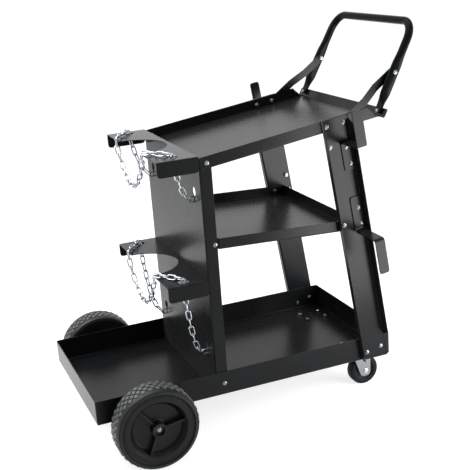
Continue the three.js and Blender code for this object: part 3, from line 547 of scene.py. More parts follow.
def blended(*shapes: BMesh) -> BMesh:
    """Put several shapes together as one.

    Args:
        *shapes: The shapes, of which all but the first are freed.

    Returns:
        The first shape, with the others in it.
    """
    first = shapes[0]
    for other in shapes[1:]:
        mesh = bpy.data.meshes.new("joined")
        other.to_mesh(mesh)
        other.free()
        first.from_mesh(mesh)
        bpy.data.meshes.remove(mesh)
    return first


def block(low: Point3, high: Point3, place: Matrix, ease: float) -> BMesh:
    """Make a box with eased edges.

    Args:
        low: The lowest corner in millimetres.
        high: The highest corner in millimetres.
        place: Where it goes, in metres.
        ease: The width of the eased edges in millimetres.

    Returns:
        The box, in metres.
    """
    shape = bmesh.new()
    bmesh.ops.create_cube(shape, size=1.0)
    for vert in shape.verts:
        vert.co = Vector([(a + b) / 2 + c * (b - a) for a, b, c in zip(low, high, vert.co)]) * MM
    edges = list(shape.edges)
    bmesh.ops.bevel(shape, geom=edges, offset=ease * MM, segments=2, affect="EDGES", profile=0.5)
    bmesh.ops.transform(shape, matrix=place, verts=shape.verts)
    bmesh.ops.recalc_face_normals(shape, faces=shape.faces)
    return shape


def carved(body: Mesh, tools: Iterable[Mesh]) -> Mesh:
    """Cut tool shapes out of a mesh.

    Args:
        body: The mesh that is cut.
        tools: Closed meshes to take away.

    Returns:
        The cut mesh.
    """
    holder = linked("carved", body)
    cutters = [linked("cutter", tool) for tool in tools]
    for cutter in cutters:
        cut = holder.modifiers.new("cut", "BOOLEAN")
        cut.operation = "DIFFERENCE"
        cut.solver = "EXACT"
        cut.object = cutter
    mesh = evaluated(holder)
    for cutter in cutters:
        bpy.data.objects.remove(cutter)
    return mesh


def tree_of(name: str, sizes: dict[str, str]) -> tuple[GeometryNodeTree, Any]:
    """Start a geometry tree with named inputs.

    Args:
        name: The tree's name.
        sizes: Kinds of socket by input name.

    Returns:
        The tree, and the sockets that give its inputs.
    """
    tree = bpy.data.node_groups.new(name, "GeometryNodeTree")
    for way in ("INPUT", "OUTPUT"):
        tree.interface.new_socket("Geometry", in_out=way, socket_type="NodeSocketGeometry")
    for key, kind in sizes.items():
        tree.interface.new_socket(key, in_out="INPUT", socket_type="NodeSocket" + kind)
    return tree, add(tree, "NodeGroupInput").outputs


def ended(tree: GeometryNodeTree, shapes: Node, finish: NodeSocket) -> None:
    """Realize a tree's instances, give them their material and link them to the output.

    Args:
        tree: The geometry tree.
        shapes: The node that gives what it has made.
        finish: The socket that gives the material.
    """
    real = add(tree, "GeometryNodeRealizeInstances", [shapes])
    dressed = add(tree, "GeometryNodeSetMaterial", {"Geometry": real, "Material": finish})
    add(tree, "NodeGroupOutput", [dressed])


def set_at_places(tree: GeometryNodeTree, given: Any, shape: Any) -> None:
    """Set a shape at each of a tree's points, turned by the point's two directions, and end the tree.

    Args:
        tree: A geometry tree whose points carry along and square.
        given: The sockets that give its inputs, with the material under Finish.
        shape: The node or socket that gives the shape, whose X goes along and whose Z goes square.
    """
    along, square = [
        add(tree, "GeometryNodeInputNamedAttribute", {"Name": name}, data_type="FLOAT_VECTOR")
        for name in ("along", "square")]
    axes = {"Primary Axis": along, "Secondary Axis": square}
    turn = add(tree, "FunctionNodeAxesToRotation", axes, primary_axis="X", secondary_axis="Z")
    placing = {"Points": given["Geometry"], "Instance": shape, "Rotation": turn}
    ended(tree, add(tree, "GeometryNodeInstanceOnPoints", placing), given["Finish"])


@cache
def fastener_tree() -> GeometryNodeTree:
    """Build the tree that sets one fastener at each place.

    Returns:
        The tree, kept for every set of fasteners.
    """
    tree, given = tree_of("fasteners_at_places", {"Fastener": "Object", "Finish": "Material"})
    shape = add(tree, "GeometryNodeObjectInfo", {"Object": given["Fastener"]})
    set_at_places(tree, given, shape.outputs["Geometry"])
    return tree


@cache
def link_tree() -> GeometryNodeTree:
    """Build the tree that bends a wire link and sets one at each place.

    Returns:
        The tree, kept for every length of chain.
    """
    tree, given = tree_of("wire_links", {
        "Length": "Float", "Width": "Float", "Bend": "Float", "Bend Steps": "Int",
        "Wire Radius": "Float", "Wire Facets": "Int", "Finish": "Material"})
    sizes = {"Width": given["Length"], "Height": given["Width"]}
    box = add(tree, "GeometryNodeCurvePrimitiveQuadrilateral", sizes, mode="RECTANGLE")
    bends = {"Curve": box, "Radius": given["Bend"], "Count": given["Bend Steps"], "Limit Radius": True}
    oval = add(tree, "GeometryNodeFilletCurve", bends, mode="POLY")
    wire = {"Resolution": given["Wire Facets"], "Radius": given["Wire Radius"]}
    section = add(tree, "GeometryNodeCurvePrimitiveCircle", wire, mode="RADIUS")
    link = add(tree, "GeometryNodeCurveToMesh", {"Curve": oval, "Profile Curve": section})
    set_at_places(tree, given, link)
    return tree


@cache
def tread_tree() -> GeometryNodeTree:
    """Build the tree that sets out staggered diamond blocks flat and then wraps them round a tyre.

    Returns:
        The tree, kept for both tyres.
    """
    tree, given = tree_of("diamond_tread", {
        "Radius": "Float", "Around": "Int", "Rows": "Int", "Run": "Float", "Spread": "Float",
        "Stagger": "Float", "Half Length": "Float", "Half Width": "Float", "Height": "Float",
        "Taper": "Float", "Finish": "Material"})
    grid = add(tree, "GeometryNodeMeshGrid", {
        "Size X": given["Run"], "Size Y": given["Spread"],
        "Vertices X": given["Around"], "Vertices Y": given["Rows"]})
    index = add(tree, "GeometryNodeInputIndex")
    row = add(tree, "ShaderNodeMath", [index, given["Rows"]], operation="MODULO")
    odd = add(tree, "ShaderNodeMath", [row, 2.0], operation="MODULO")
    shift = add(tree, "ShaderNodeMath", [odd, given["Stagger"]], operation="MULTIPLY")
    stagger = add(tree, "ShaderNodeCombineXYZ", [shift])
    laid = add(tree, "GeometryNodeSetPosition", {"Geometry": grid, "Offset": stagger})
    # A cone of four sides is the diamond. Its top lies at zero, so a block goes from the radius inwards.
    cone = {"Vertices": 4, "Radius Top": given["Taper"], "Radius Bottom": 1.0, "Depth": 1.0}
    diamond = add(tree, "GeometryNodeMeshCone", cone, fill_type="NGON")
    sunk = add(tree, "GeometryNodeTransform", {"Geometry": diamond, "Translation": (0, 0, -1.0)})
    finer = add(tree, "GeometryNodeSubdivideMesh", {"Mesh": sunk, "Level": 1})
    size = add(tree, "ShaderNodeCombineXYZ", [given["Half Length"], given["Half Width"], given["Height"]])
    placing = {"Points": laid, "Instance": finer, "Scale": size}
    blocks = add(tree, "GeometryNodeInstanceOnPoints", placing)
    real = add(tree, "GeometryNodeRealizeInstances", [blocks])
    flat = add(tree, "ShaderNodeSeparateXYZ", [add(tree, "GeometryNodeInputPosition")]).outputs
    angle = add(tree, "ShaderNodeMath", [flat["X"], given["Radius"]], operation="DIVIDE")
    reach = add(tree, "ShaderNodeMath", [flat["Z"], given["Radius"]], operation="ADD")
    spoke = {"Vector": add(tree, "ShaderNodeCombineXYZ", [reach, flat["Y"]]), "Angle": angle}
    wrap = add(tree, "ShaderNodeVectorRotate", spoke, rotation_type="Y_AXIS", invert=True)
    wrapped = add(tree, "GeometryNodeSetPosition", {"Geometry": real, "Position": wrap})
    ended(tree, wrapped, given["Finish"])
    return tree


def grown(base: Mesh, tree: GeometryNodeTree, values: dict[str, Any]) -> Mesh:
    """Run a geometry tree on a mesh.

    Args:
        base: The mesh that the tree starts from.
        tree: The tree.
        values: What its named inputs are set to.

    Returns:
        The plain mesh that it makes.
    """
    holder = linked("grown", base)
    modifier = holder.modifiers.new("grown", "NODES")
    modifier.node_group = tree
    for item in tree.interface.items_tree:
        if item.in_out == "INPUT" and item.name in values:
            modifier[item.identifier] = values[item.name]
    return evaluated(holder)


@dataclass
class Places:
    """Points that take one shape each, with two directions to set it by, all mirrored by the flip."""

    flip: Point3 = (1, 1, 1)
    rows: list[tuple[Vector, Vector, Vector]] = field(default_factory=list)

    def put(self, spot: Vector, along: Vector, square: Vector) -> None:
        """Add a place, in millimetres, and the ways that the shape's X and Z go there."""
        flip = Vector(self.flip)
        self.rows.append((spot * flip * MM, along.normalized() * flip, square.normalized() * flip))

    def mesh(self) -> Mesh:
        """Give the places as a mesh of loose points with their directions.

        Returns:
            A mesh with the attributes along and square.
        """
        spots, along, square = zip(*self.rows)
        mesh = bpy.data.meshes.new("places")
        mesh.from_pydata(spots, [], [])
        for name, values in (("along", along), ("square", square)):
            attribute = mesh.attributes.new(name, "FLOAT_VECTOR", "POINT")
            attribute.data.foreach_set("vector", [c for v in values for c in v])
        return mesh


@dataclass
class Hardware:
    """The sizes of the cart's M6 fasteners in millimetres, and their shapes, seated at zero and facing +X."""

    head: float = 8.9
    head_height: float = 3.2
    head_edge: float = 1.4
    dome: tuple[float, ...] = (0.35, 0.75, 1.15)
    recess: float = 5.4
    recess_width: float = 1.5
    recess_depth: float = 2.2
    recess_ease: float = 0.15
    washer: float = 10.8
    washer_stock: float = 0.8
    washer_edges: Point2 = (0.3, 0.5)
    nut: float = 10.0
    nut_face: float = 9.6
    nut_height: float = 5.0
    nut_chamfer: float = 0.7
    nut_sides: int = 6
    thread: float = 6.0
    thread_in: float = 1.0
    thread_out: float = 2.2
    thread_chamfer: float = 0.8
    thread_facets: int = 14
    facets: int = 20

    def washer_ring(self) -> BMesh:
        """Turn the washer that lies under heads and nuts.

        Returns:
            The washer, without its hidden hole.
        """
        half, stock = self.washer / 2, self.washer_stock
        lower, upper = self.washer_edges
        ring = [(0, 0, 0), (half, 0, lower), (half, stock, upper), (0, stock, 0)]
        return turned(rounded(ring, steps=2), self.facets, ORIGIN, ALONG)

    def pan_head(self) -> Mesh:
        """Build a washer under a domed head with a cross recess.

        Returns:
            The bolt head.
        """
        radius = self.head / 2
        low = self.washer_stock
        edge, top = low + self.head_edge, low + self.head_height
        outline = [(0, low), (radius, low), (radius, edge)]
        outline += [(radius * math.cos(t), edge + (top - edge) * math.sin(t)) for t in self.dome]
        head = turned(outline + [(0, top)], self.facets, ORIGIN, ALONG)
        reach, wide = self.recess / 2, self.recess_width / 2
        start, stop = (top - self.recess_depth, -reach, -wide), (top + self.recess_depth, reach, wide)
        turns = [Matrix.Rotation(math.radians(turn), 4, "X") for turn in (0, 90)]
        bars = [mesh_of(block(start, stop, turn, self.recess_ease)) for turn in turns]
        return carved(mesh_of(blended(self.washer_ring(), head), crease=35), bars)

    def hex_nut(self) -> Mesh:
        """Build a hexagon nut with chamfered corners on a washer, with the thread's end through it.

        Returns:
            The nut.
        """
        low = self.washer_stock
        top = low + self.nut_height
        corner = self.nut / math.sqrt(3)
        nut = [(0, low), (corner, low), (corner, top - self.nut_chamfer), (self.nut_face / 2, top), (0, top)]
        core, slope = self.thread / 2, self.thread_chamfer
        start, end = top - self.thread_in, top + self.thread_out
        rod = [(0, start), (core, start), (core, end - slope), (core - slope, end), (0, end)]
        parts = [turned(nut, self.nut_sides, ORIGIN, ALONG), turned(rod, self.thread_facets, ORIGIN, ALONG)]
        return mesh_of(blended(self.washer_ring(), *parts), crease=30)


@dataclass
class SheetMetal:
    """The folded, coated sheet and strap pieces, which keep their solids' shapes with eased edges."""

    nodes: dict[str, Object]
    ease: float = 0.5
    names: tuple[str, ...] = (
        "bottom_tray", "cylinder_panel", "upper_cradle", "lower_cradle", "top_tray", "middle_shelf",
        "near_post", "far_post", "near_upper_hook", "near_lower_hook", "far_upper_hook", "far_lower_hook",
        "near_brace", "far_brace",
    )

    def build(self) -> None:
        """Make each sheet piece with eased edges and coat it."""
        for name in self.names:
            piece(name + "_sheet", eased(self.nodes, name, self.ease), COAT, Body.FRAME, name)


@dataclass
class Handle:
    """The push handle: one bent tube, its legs pressed oval and its feet pressed flat on the tray's flange.

    A section's squareness is 1 for an ellipse, and less for one with flatter sides. The toe is the end of a
    foot, in shares of its width and thickness.
    """

    tube: float = 20.0
    inset: float = 0.18
    bend: float = 46.0
    bend_steps: int = 14
    height: float = 226.0
    foot_y: float = 197.0
    top_y: float = 190.5
    foot_flat: float = 7.0
    foot_width: float = 26.0
    foot_square: float = 0.55
    toe: Point2 = (0.8, 0.7)
    oval: float = 26.0
    oval_thick: float = 14.0
    oval_square: float = 0.85
    heights: tuple[float, ...] = (-3.0, -1.2, 13.0, 48.0, 113.0, 152.0)
    steps: tuple[int, ...] = (1, 1, 8, 8, 8)
    sides: int = 28
    foot: Point3 = (320.13, 0, 734.56)

    def leg_y(self, height: float) -> float:
        """Find how far a leg stands from the cart's middle at a height up the leg, all in millimetres."""
        share = max(0.0, min(1.0, height / (self.height - self.bend)))
        return self.foot_y + (self.top_y - self.foot_y) * share

    def stations(self) -> list[tuple[Vector, Vector, float, float, float]]:
        """List the tube's sections along its path, in the handle's own plane.

        Returns:
            For each section its point, direction, half width, half thickness and squareness.
        """
        radius = self.tube / 2 - self.inset
        flat = (self.foot_width / 2, self.foot_flat / 2, self.foot_square)
        toe = (flat[0] * self.toe[0], flat[1] * self.toe[1], self.foot_square)
        oval = (self.oval_thick / 2, self.oval / 2 - self.inset, self.oval_square)
        keys = list(zip(self.heights, (toe, flat, flat, oval, oval, (radius, radius, 1.0))))
        out = []
        for steps, (low, first), (high, second) in zip(self.steps, keys, keys[1:]):
            for k in range(steps):
                t = k / steps
                share = t * t * (3 - 2 * t)
                height = low + (high - low) * t
                size = [a + (b - a) * share for a, b in zip(first, second)]
                out.append((Vector((-self.leg_y(height), height, 0)), ACROSS, *size))
        centre = Vector((self.bend - self.top_y, self.height - self.bend, 0))
        for k in range(self.bend_steps + 1):
            angle = math.pi - k / self.bend_steps * math.pi / 2
            spoke = Vector((math.cos(angle), math.sin(angle), 0))
            out.append((centre + spoke * self.bend, Vector((spoke.y, -spoke.x, 0)), radius, radius, 1.0))
        other = [(Vector((-p.x, p.y, 0)), Vector((d.x, -d.y, 0)), *size) for p, d, *size in reversed(out)]
        return out + other

    def build(self) -> None:
        """Sweep the tube and stand it on the flange."""
        slope = Vector((math.sin(LEAN), 0, math.cos(LEAN)))
        away = ACROSS.cross(slope)
        rings = []
        for point, along, wide, thick, squareness in self.stations():
            across = Vector((-along.y, along.x, 0)) * wide
            ring = []
            for k in range(self.sides):
                angle = 2 * math.pi * k / self.sides
                circle = (math.cos(angle), math.sin(angle))
                sideways, outwards = [math.copysign(abs(v) ** squareness, v) for v in circle]
                flat = point + across * sideways
                spot = Vector(self.foot) + ACROSS * flat.x + slope * flat.y + away * thick * outwards
                ring.append(spot * MM)
            rings.append(ring)
        piece("handle_tube", mesh_of(lofted(rings, closed=False), crease=45), TUBE_COAT, Body.FRAME, "handle")


@dataclass
class LargeWheel:
    """One large wheel: a rubber tyre with a diamond tread, a dished plastic hub with ribs, and its bush."""

    side: Side
    diameter: float = 200.0
    width: float = 64.0
    depth: float = 14.0
    # The tyre's shoulder, by drop from the base of the tread and distance in from the tyre's side.
    shoulder: tuple[Point2, ...] = ((0.0, 7.5), (0.7, 5.4), (2.2, 3.06))
    # The sidewall with its two ring grooves, by height over the bead and distance in from the side.
    sidewall: tuple[Point2, ...] = (
        (9.0, 1.7), (8.5, 2.6), (7.7, 2.6), (7.2, 1.2), (4.5, 0.2), (2.2, 0.2), (1.8, 1.3), (1.1, 1.3),
        (0.7, 0.6), (0.0, 2.25),
    )
    tread_height: float = 2.2
    tread_root: float = 0.7
    tread_inset: float = 0.05
    tread_count: int = 36
    tread_rows: int = 4
    tread_step: float = 10.0
    tread_block: Point2 = (14.2, 16.8)
    tread_taper: float = 0.86
    rim_drop: float = 2.25
    rim_edge: float = 0.5
    # The groove in the hub's rim, by distance in from the rim and depth.
    rim_groove: tuple[Point2, ...] = ((2.2, 0.0), (2.8, 0.9), (4.0, 0.9), (4.6, 0.0))
    groove_edge: float = 0.4
    dish: float = 138.0
    dish_depth: float = 22.0
    dish_slope: float = 11.0
    dish_edge: float = 1.6
    dish_fillet: float = 6.0
    wall: float = 5.0
    edge: float = 0.8
    fillet: float = 3.0
    boss: float = 34.0
    boss_inner: float = 8.5
    boss_edge: float = 1.0
    bore: float = 19.2
    recess: float = 26.0
    recess_depth: float = 7.0
    recess_edges: Point2 = (0.7, 0.4)
    fit: float = 0.3
    bush_radii: Point2 = (6.3, 9.3)
    bush_edge: float = 0.3
    bush_facets: int = 40
    ribs: int = 3
    rib: float = 5.0
    rib_drop: float = 5.0
    rib_turn: float = -8.0
    rib_ease: float = 0.9
    facets: int = 128

    def centre(self) -> Vector:
        """Find the wheel's centre in metres, in the middle of the tyre and on the axle."""
        tyre, axle = seat(self.side.word + "_tyre")[0], seat("axle")[0]
        return Vector((axle.x, tyre.y, axle.z))

    def tyre(self) -> None:
        """Turn the tyre's carcass with its two ring grooves."""
        radius, half = self.diameter / 2, self.width / 2
        base, bead = radius - self.tread_height, radius - self.depth
        outline = [(base - drop, half - inwards) for drop, inwards in self.shoulder]
        outline += [(bead + rise, half - inwards) for rise, inwards in self.sidewall]
        carcass = turned(mirrored(outline), self.facets, self.centre(), ACROSS * self.side.value)
        word, body = self.side.word + "_tyre", self.side.body("wheel")
        piece(word + "_carcass", mesh_of(carcass, crease=25), TYRE, body, word)

    def tread(self) -> None:
        """Lay the tread blocks round the carcass."""
        radius = self.diameter / 2 - self.tread_inset
        step = 2 * math.pi * radius / self.tread_count
        long, wide = self.tread_block
        blocks = grown(bpy.data.meshes.new("bare"), tread_tree(), {
            "Radius": radius * MM,
            "Around": self.tread_count,
            "Rows": self.tread_rows,
            "Run": step * (self.tread_count - 1) * MM,
            "Spread": self.tread_step * (self.tread_rows - 1) * MM,
            "Stagger": step / 2 * MM,
            "Half Length": long / 2 * MM,
            "Half Width": wide / 2 * MM,
            "Height": (self.tread_height + self.tread_root) * MM,
            "Taper": self.tread_taper,
            "Finish": TREAD.material(),
        })
        blocks.transform(Matrix.Translation(self.centre()))
        # The blocks' paler grey is a painted highlight for the light on the tread.
        piece(self.side.word + "_tyre_tread", smooth(blocks, crease=25), TREAD, self.side.body("wheel"))

    def hub(self) -> None:
        """Turn the hub with its rounded edges and join its ribs to it."""
        word, centre = self.side.word, self.centre()
        rim = self.diameter / 2 - self.depth - self.fit
        inside = rim - self.wall
        boss, recess, dish, bore = self.boss / 2, self.recess / 2, self.dish / 2, self.bore / 2
        outer = self.width / 2
        face = outer - self.rim_drop
        floor = outer - self.dish_depth
        back = floor - self.wall
        inner = -outer - self.boss_inner
        sunk = outer - self.recess_depth
        recess_top, recess_foot = self.recess_edges
        corners = [
            (bore, inner, 0), (boss, inner, self.edge), (boss, back, self.fillet),
            (inside, back, self.fillet), (inside, -face, self.edge), (rim, -face, self.edge),
            (rim, face, self.rim_edge),
            *((rim - inwards, face - deep, self.groove_edge) for inwards, deep in self.rim_groove),
            (dish, face, self.dish_edge), (dish - self.dish_slope, floor, self.dish_fillet),
            (boss, floor, self.fillet), (boss, outer, self.boss_edge),
            (recess, outer, recess_top), (recess, sunk, recess_foot), (bore, sunk, 0),
        ]
        parts = [turned(rounded(corners), self.facets, centre, ACROSS * self.side.value)]
        low = ((boss + recess) / 2, floor - self.wall / 2, -self.rib / 2)
        high = (dish - self.dish_slope / 4, face - self.rib_drop, self.rib / 2)
        outwards = Matrix.Translation(centre) @ Matrix.Scale(self.side.value, 4, ACROSS)
        for k in range(self.ribs):
            spin = 2 * math.pi * k / self.ribs + math.radians(self.rib_turn)
            parts.append(block(low, high, outwards @ Matrix.Rotation(spin, 4, "Y"), self.rib_ease))
        moulding = mesh_of(blended(*parts))
        piece(word + "_hub_moulding", moulding, HUB, self.side.body("wheel"), word + "_wheel_hub")

    def bush(self) -> None:
        """Turn the nylon bush with eased ends."""
        word, centre, edge = self.side.word, self.centre(), self.bush_edge
        middle, half = seat(word + "_wheel_bush")
        offset = (middle.y - centre.y) * self.side.value / MM
        start, end = offset - half, offset + half
        inner, outer = self.bush_radii
        ring = [(inner, start, edge), (outer, start, edge), (outer, end, edge), (inner, end, edge)]
        sleeve = turned(rounded(ring, steps=2), self.bush_facets, centre, ACROSS * self.side.value)
        body = self.side.body("wheel")
        piece(word + "_bush_sleeve", mesh_of(sleeve, crease=35), NYLON, body, word + "_wheel_bush")

    def build(self) -> None:
        """Make the tyre, its tread, the hub and the bush."""
        self.tyre()
        self.tread()
        self.hub()
        self.bush()


@dataclass
class AxleSet:
    """The axle rod with chamfered ends, its saddles and spacers, and the toothed push nuts on its ends."""

    nodes: dict[str, Object]
    rod: float = 12.0
    chamfer: float = 2.2
    rod_facets: int = 32
    fit: float = 0.3
    spacer: float = 22.0
    spacer_edge: float = 0.4
    spacer_facets: int = 40
    ease: float = 0.5
    nut: float = 26.0
    nut_height: float = 2.5
    nut_sheet: float = 1.2
    nut_rim: float = 0.9
    nut_root: float = 10.3
    nut_grip: float = 0.35
    teeth: int = 8
    tooth_steps: int = 8
    tooth_bend: float = 0.8
    tooth_under: float = 0.2

    def build(self) -> None:
        """Make the rod, spacers, saddles and push nuts."""
        middle, reach = seat("axle")
        radius = self.rod / 2
        end = [(0, reach), (radius - self.chamfer, reach), (radius, reach - self.chamfer)]
        rod = turned(mirrored(end), self.rod_facets, middle, ACROSS)
        piece("axle_rod", mesh_of(rod, crease=30), STEEL, Body.FRAME, "axle")
        inner, outer, edge = radius + self.fit, self.spacer / 2, self.spacer_edge
        for side in Side:
            node = side.word + "_axle_spacer"
            place, half = seat(node)
            ring = rounded(mirrored([(inner, half, edge), (outer, half, edge)]), steps=2)
            spacer = turned(ring, self.spacer_facets, Vector((middle.x, place.y, middle.z)), ACROSS)
            piece(side.word + "_spacer_ring", mesh_of(spacer, crease=35), ZINC, Body.FRAME, node)
            node = side.word + "_axle_saddle"
            piece(side.word + "_saddle_strap", eased(self.nodes, node, self.ease), COAT, Body.FRAME, node)
            self.push_nut(side, middle)

    def push_nut(self, side: Side, axle: Vector) -> None:
        """Press one push nut: a disc whose star of spring teeth leans outwards to grip the rod.

        Args:
            side: The side it is on.
            axle: The middle of the axle, in metres.
        """
        node = side.word + "_push_nut"
        middle, half = seat(node)
        start = middle.y * side.value / MM - half
        outer, root, sheet = self.nut / 2 - self.fit, self.nut_root, self.nut_sheet
        bend = root + self.tooth_bend
        centre, out = Vector((axle.x, 0, axle.z)), ACROSS * side.value
        steps = self.tooth_steps * self.teeth
        rings = []
        for k in range(steps):
            angle = 2 * math.pi * (k + 0.5) / steps
            spoke = Vector((math.cos(angle), 0, math.sin(angle)))
            tooth = k % self.tooth_steps < self.tooth_steps / 2
            reach = self.rod / 2 + self.nut_grip if tooth else root
            lift = self.nut_height - sheet if tooth else 0.0
            section = [
                (outer, 0.0), (outer, self.nut_rim), (bend, sheet),
                (reach, sheet + lift), (reach, self.tooth_under + lift), (bend, 0.0),
            ]
            rings.append([centre + (spoke * r + out * (start + h)) * MM for r, h in section])
        piece(node + "_star", mesh_of(lofted(rings, closed=True), crease=35), SPRING_STEEL, Body.FRAME, node)


@dataclass
class Caster:
    """One swivel caster: plate and kingpin, pressed fork, axle bolt and a rubber-tyred wheel."""

    nodes: dict[str, Object]
    side: Side
    wheel: float = 80.0
    width: float = 26.0
    depth: float = 11.0
    # How far the tread falls at the tyre's sides, and how far in from them it starts to fall.
    crown: Point2 = (4.0, 3.0)
    crown_edge: float = 5.0
    tyre_edge: float = 3.0
    bead_edge: float = 0.6
    axle: float = 8.0
    fit: float = 0.3
    boss: float = 17.2
    boss_out: float = 3.7
    boss_edge: float = 0.8
    # Where the core's web starts and ends its slope to the rim, both in from the rim.
    rim_slope: Point2 = (3.0, 1.6)
    rim_edge: float = 0.5
    edge: float = 0.4
    fillet: float = 2.0
    shank_facets: int = 24
    collar: float = 13.6
    # Where the bolt's collar starts and ends, in from the bolt's end, and its chamfer's width and height.
    collar_span: Point2 = (4.0, 2.5)
    collar_chamfer: Point2 = (0.6, 0.4)
    rivet: float = 9.28
    # The rivet head's dome, by share of its radius and distance in from the bolt's end.
    dome: tuple[Point2, ...] = ((1.0, 1.4), (0.8, 0.5), (0.4, 0.0), (0.0, 0.0))
    head_facets: int = 28
    ease: float = 0.5
    plate_ease: float = 0.4
    facets: int = 64

    def rolling(self) -> None:
        """Turn the tyre with its rounded tread and the core with its web and boss."""
        word, body = self.side.word + "_caster", self.side.body("caster_wheel")
        centre = seat(word + "_axle")[0]
        radius, half = self.wheel / 2, self.width / 2
        bead = radius - self.depth
        fall, start = self.crown
        outline = [
            (radius, half - start, self.crown_edge), (radius - fall, half, self.tyre_edge),
            (bead, half, self.bead_edge),
        ]
        tyre = turned(rounded(mirrored(outline), steps=5), self.facets, centre, ACROSS)
        piece(word + "_tread", mesh_of(tyre, crease=35), CASTER_TREAD, body, word + "_tyre")
        rim, end, web = bead - self.fit, half - self.fit, self.width / 4
        boss, boss_end, bore = self.boss / 2, half + self.boss_out, self.axle / 2 + self.fit
        foot, top = [rim - inwards for inwards in self.rim_slope]
        outline = [
            (bore, boss_end, self.edge), (boss, boss_end, self.boss_edge), (boss, web, self.fillet),
            (foot, web, self.fillet), (top, end, self.rim_edge), (rim, end, self.edge),
        ]
        core = turned(rounded(mirrored(outline), steps=3), self.facets, centre, ACROSS)
        piece(word + "_wheel_core", mesh_of(core, crease=35), NYLON, body, word + "_core")

    def swivelling(self) -> None:
        """Ease the fork's edges and give its axle a collar and a domed rivet head at each end."""
        word, body = self.side.word, self.side.body("caster")
        fork, bolt = word + "_caster_fork", word + "_caster_axle"
        piece(word + "_fork_pressing", eased(self.nodes, fork, self.ease), BOLT_ZINC, body, fork)
        centre, half = seat(bolt)
        end = half - self.fit
        shank = mirrored([(0, end), (self.axle / 2, end)])
        collar, rivet = self.collar / 2, self.rivet / 2
        start, stop = [half - inwards for inwards in self.collar_span]
        wide, high = self.collar_chamfer
        head = [(0, start), (collar, start), (collar, stop - high), (collar - wide, stop), (rivet, stop)]
        head += [(rivet * share, half - inwards) for share, inwards in self.dome]
        parts = [turned(shank, self.shank_facets, centre, ACROSS)]
        parts += [turned(head, self.head_facets, centre, ACROSS * side.value) for side in Side]
        piece(word + "_caster_bolt", mesh_of(blended(*parts), crease=30), ZINC, body, bolt)

    def fixed(self) -> None:
        """Ease the top plate and the kingpin's riveted head."""
        word = self.side.word
        plate, pin = word + "_caster_plate", word + "_caster_kingpin"
        sheet = eased(self.nodes, plate, self.plate_ease)
        piece(word + "_top_plate", sheet, BOLT_ZINC, Body.FRAME, plate)
        rivet = eased(self.nodes, pin, self.ease, crease=45)
        piece(word + "_kingpin_rivet", rivet, BOLT_ZINC, Body.FRAME, pin)

    def build(self) -> None:
        """Make what rolls, what swivels and what stays."""
        self.rolling()
        self.swivelling()
        self.fixed()


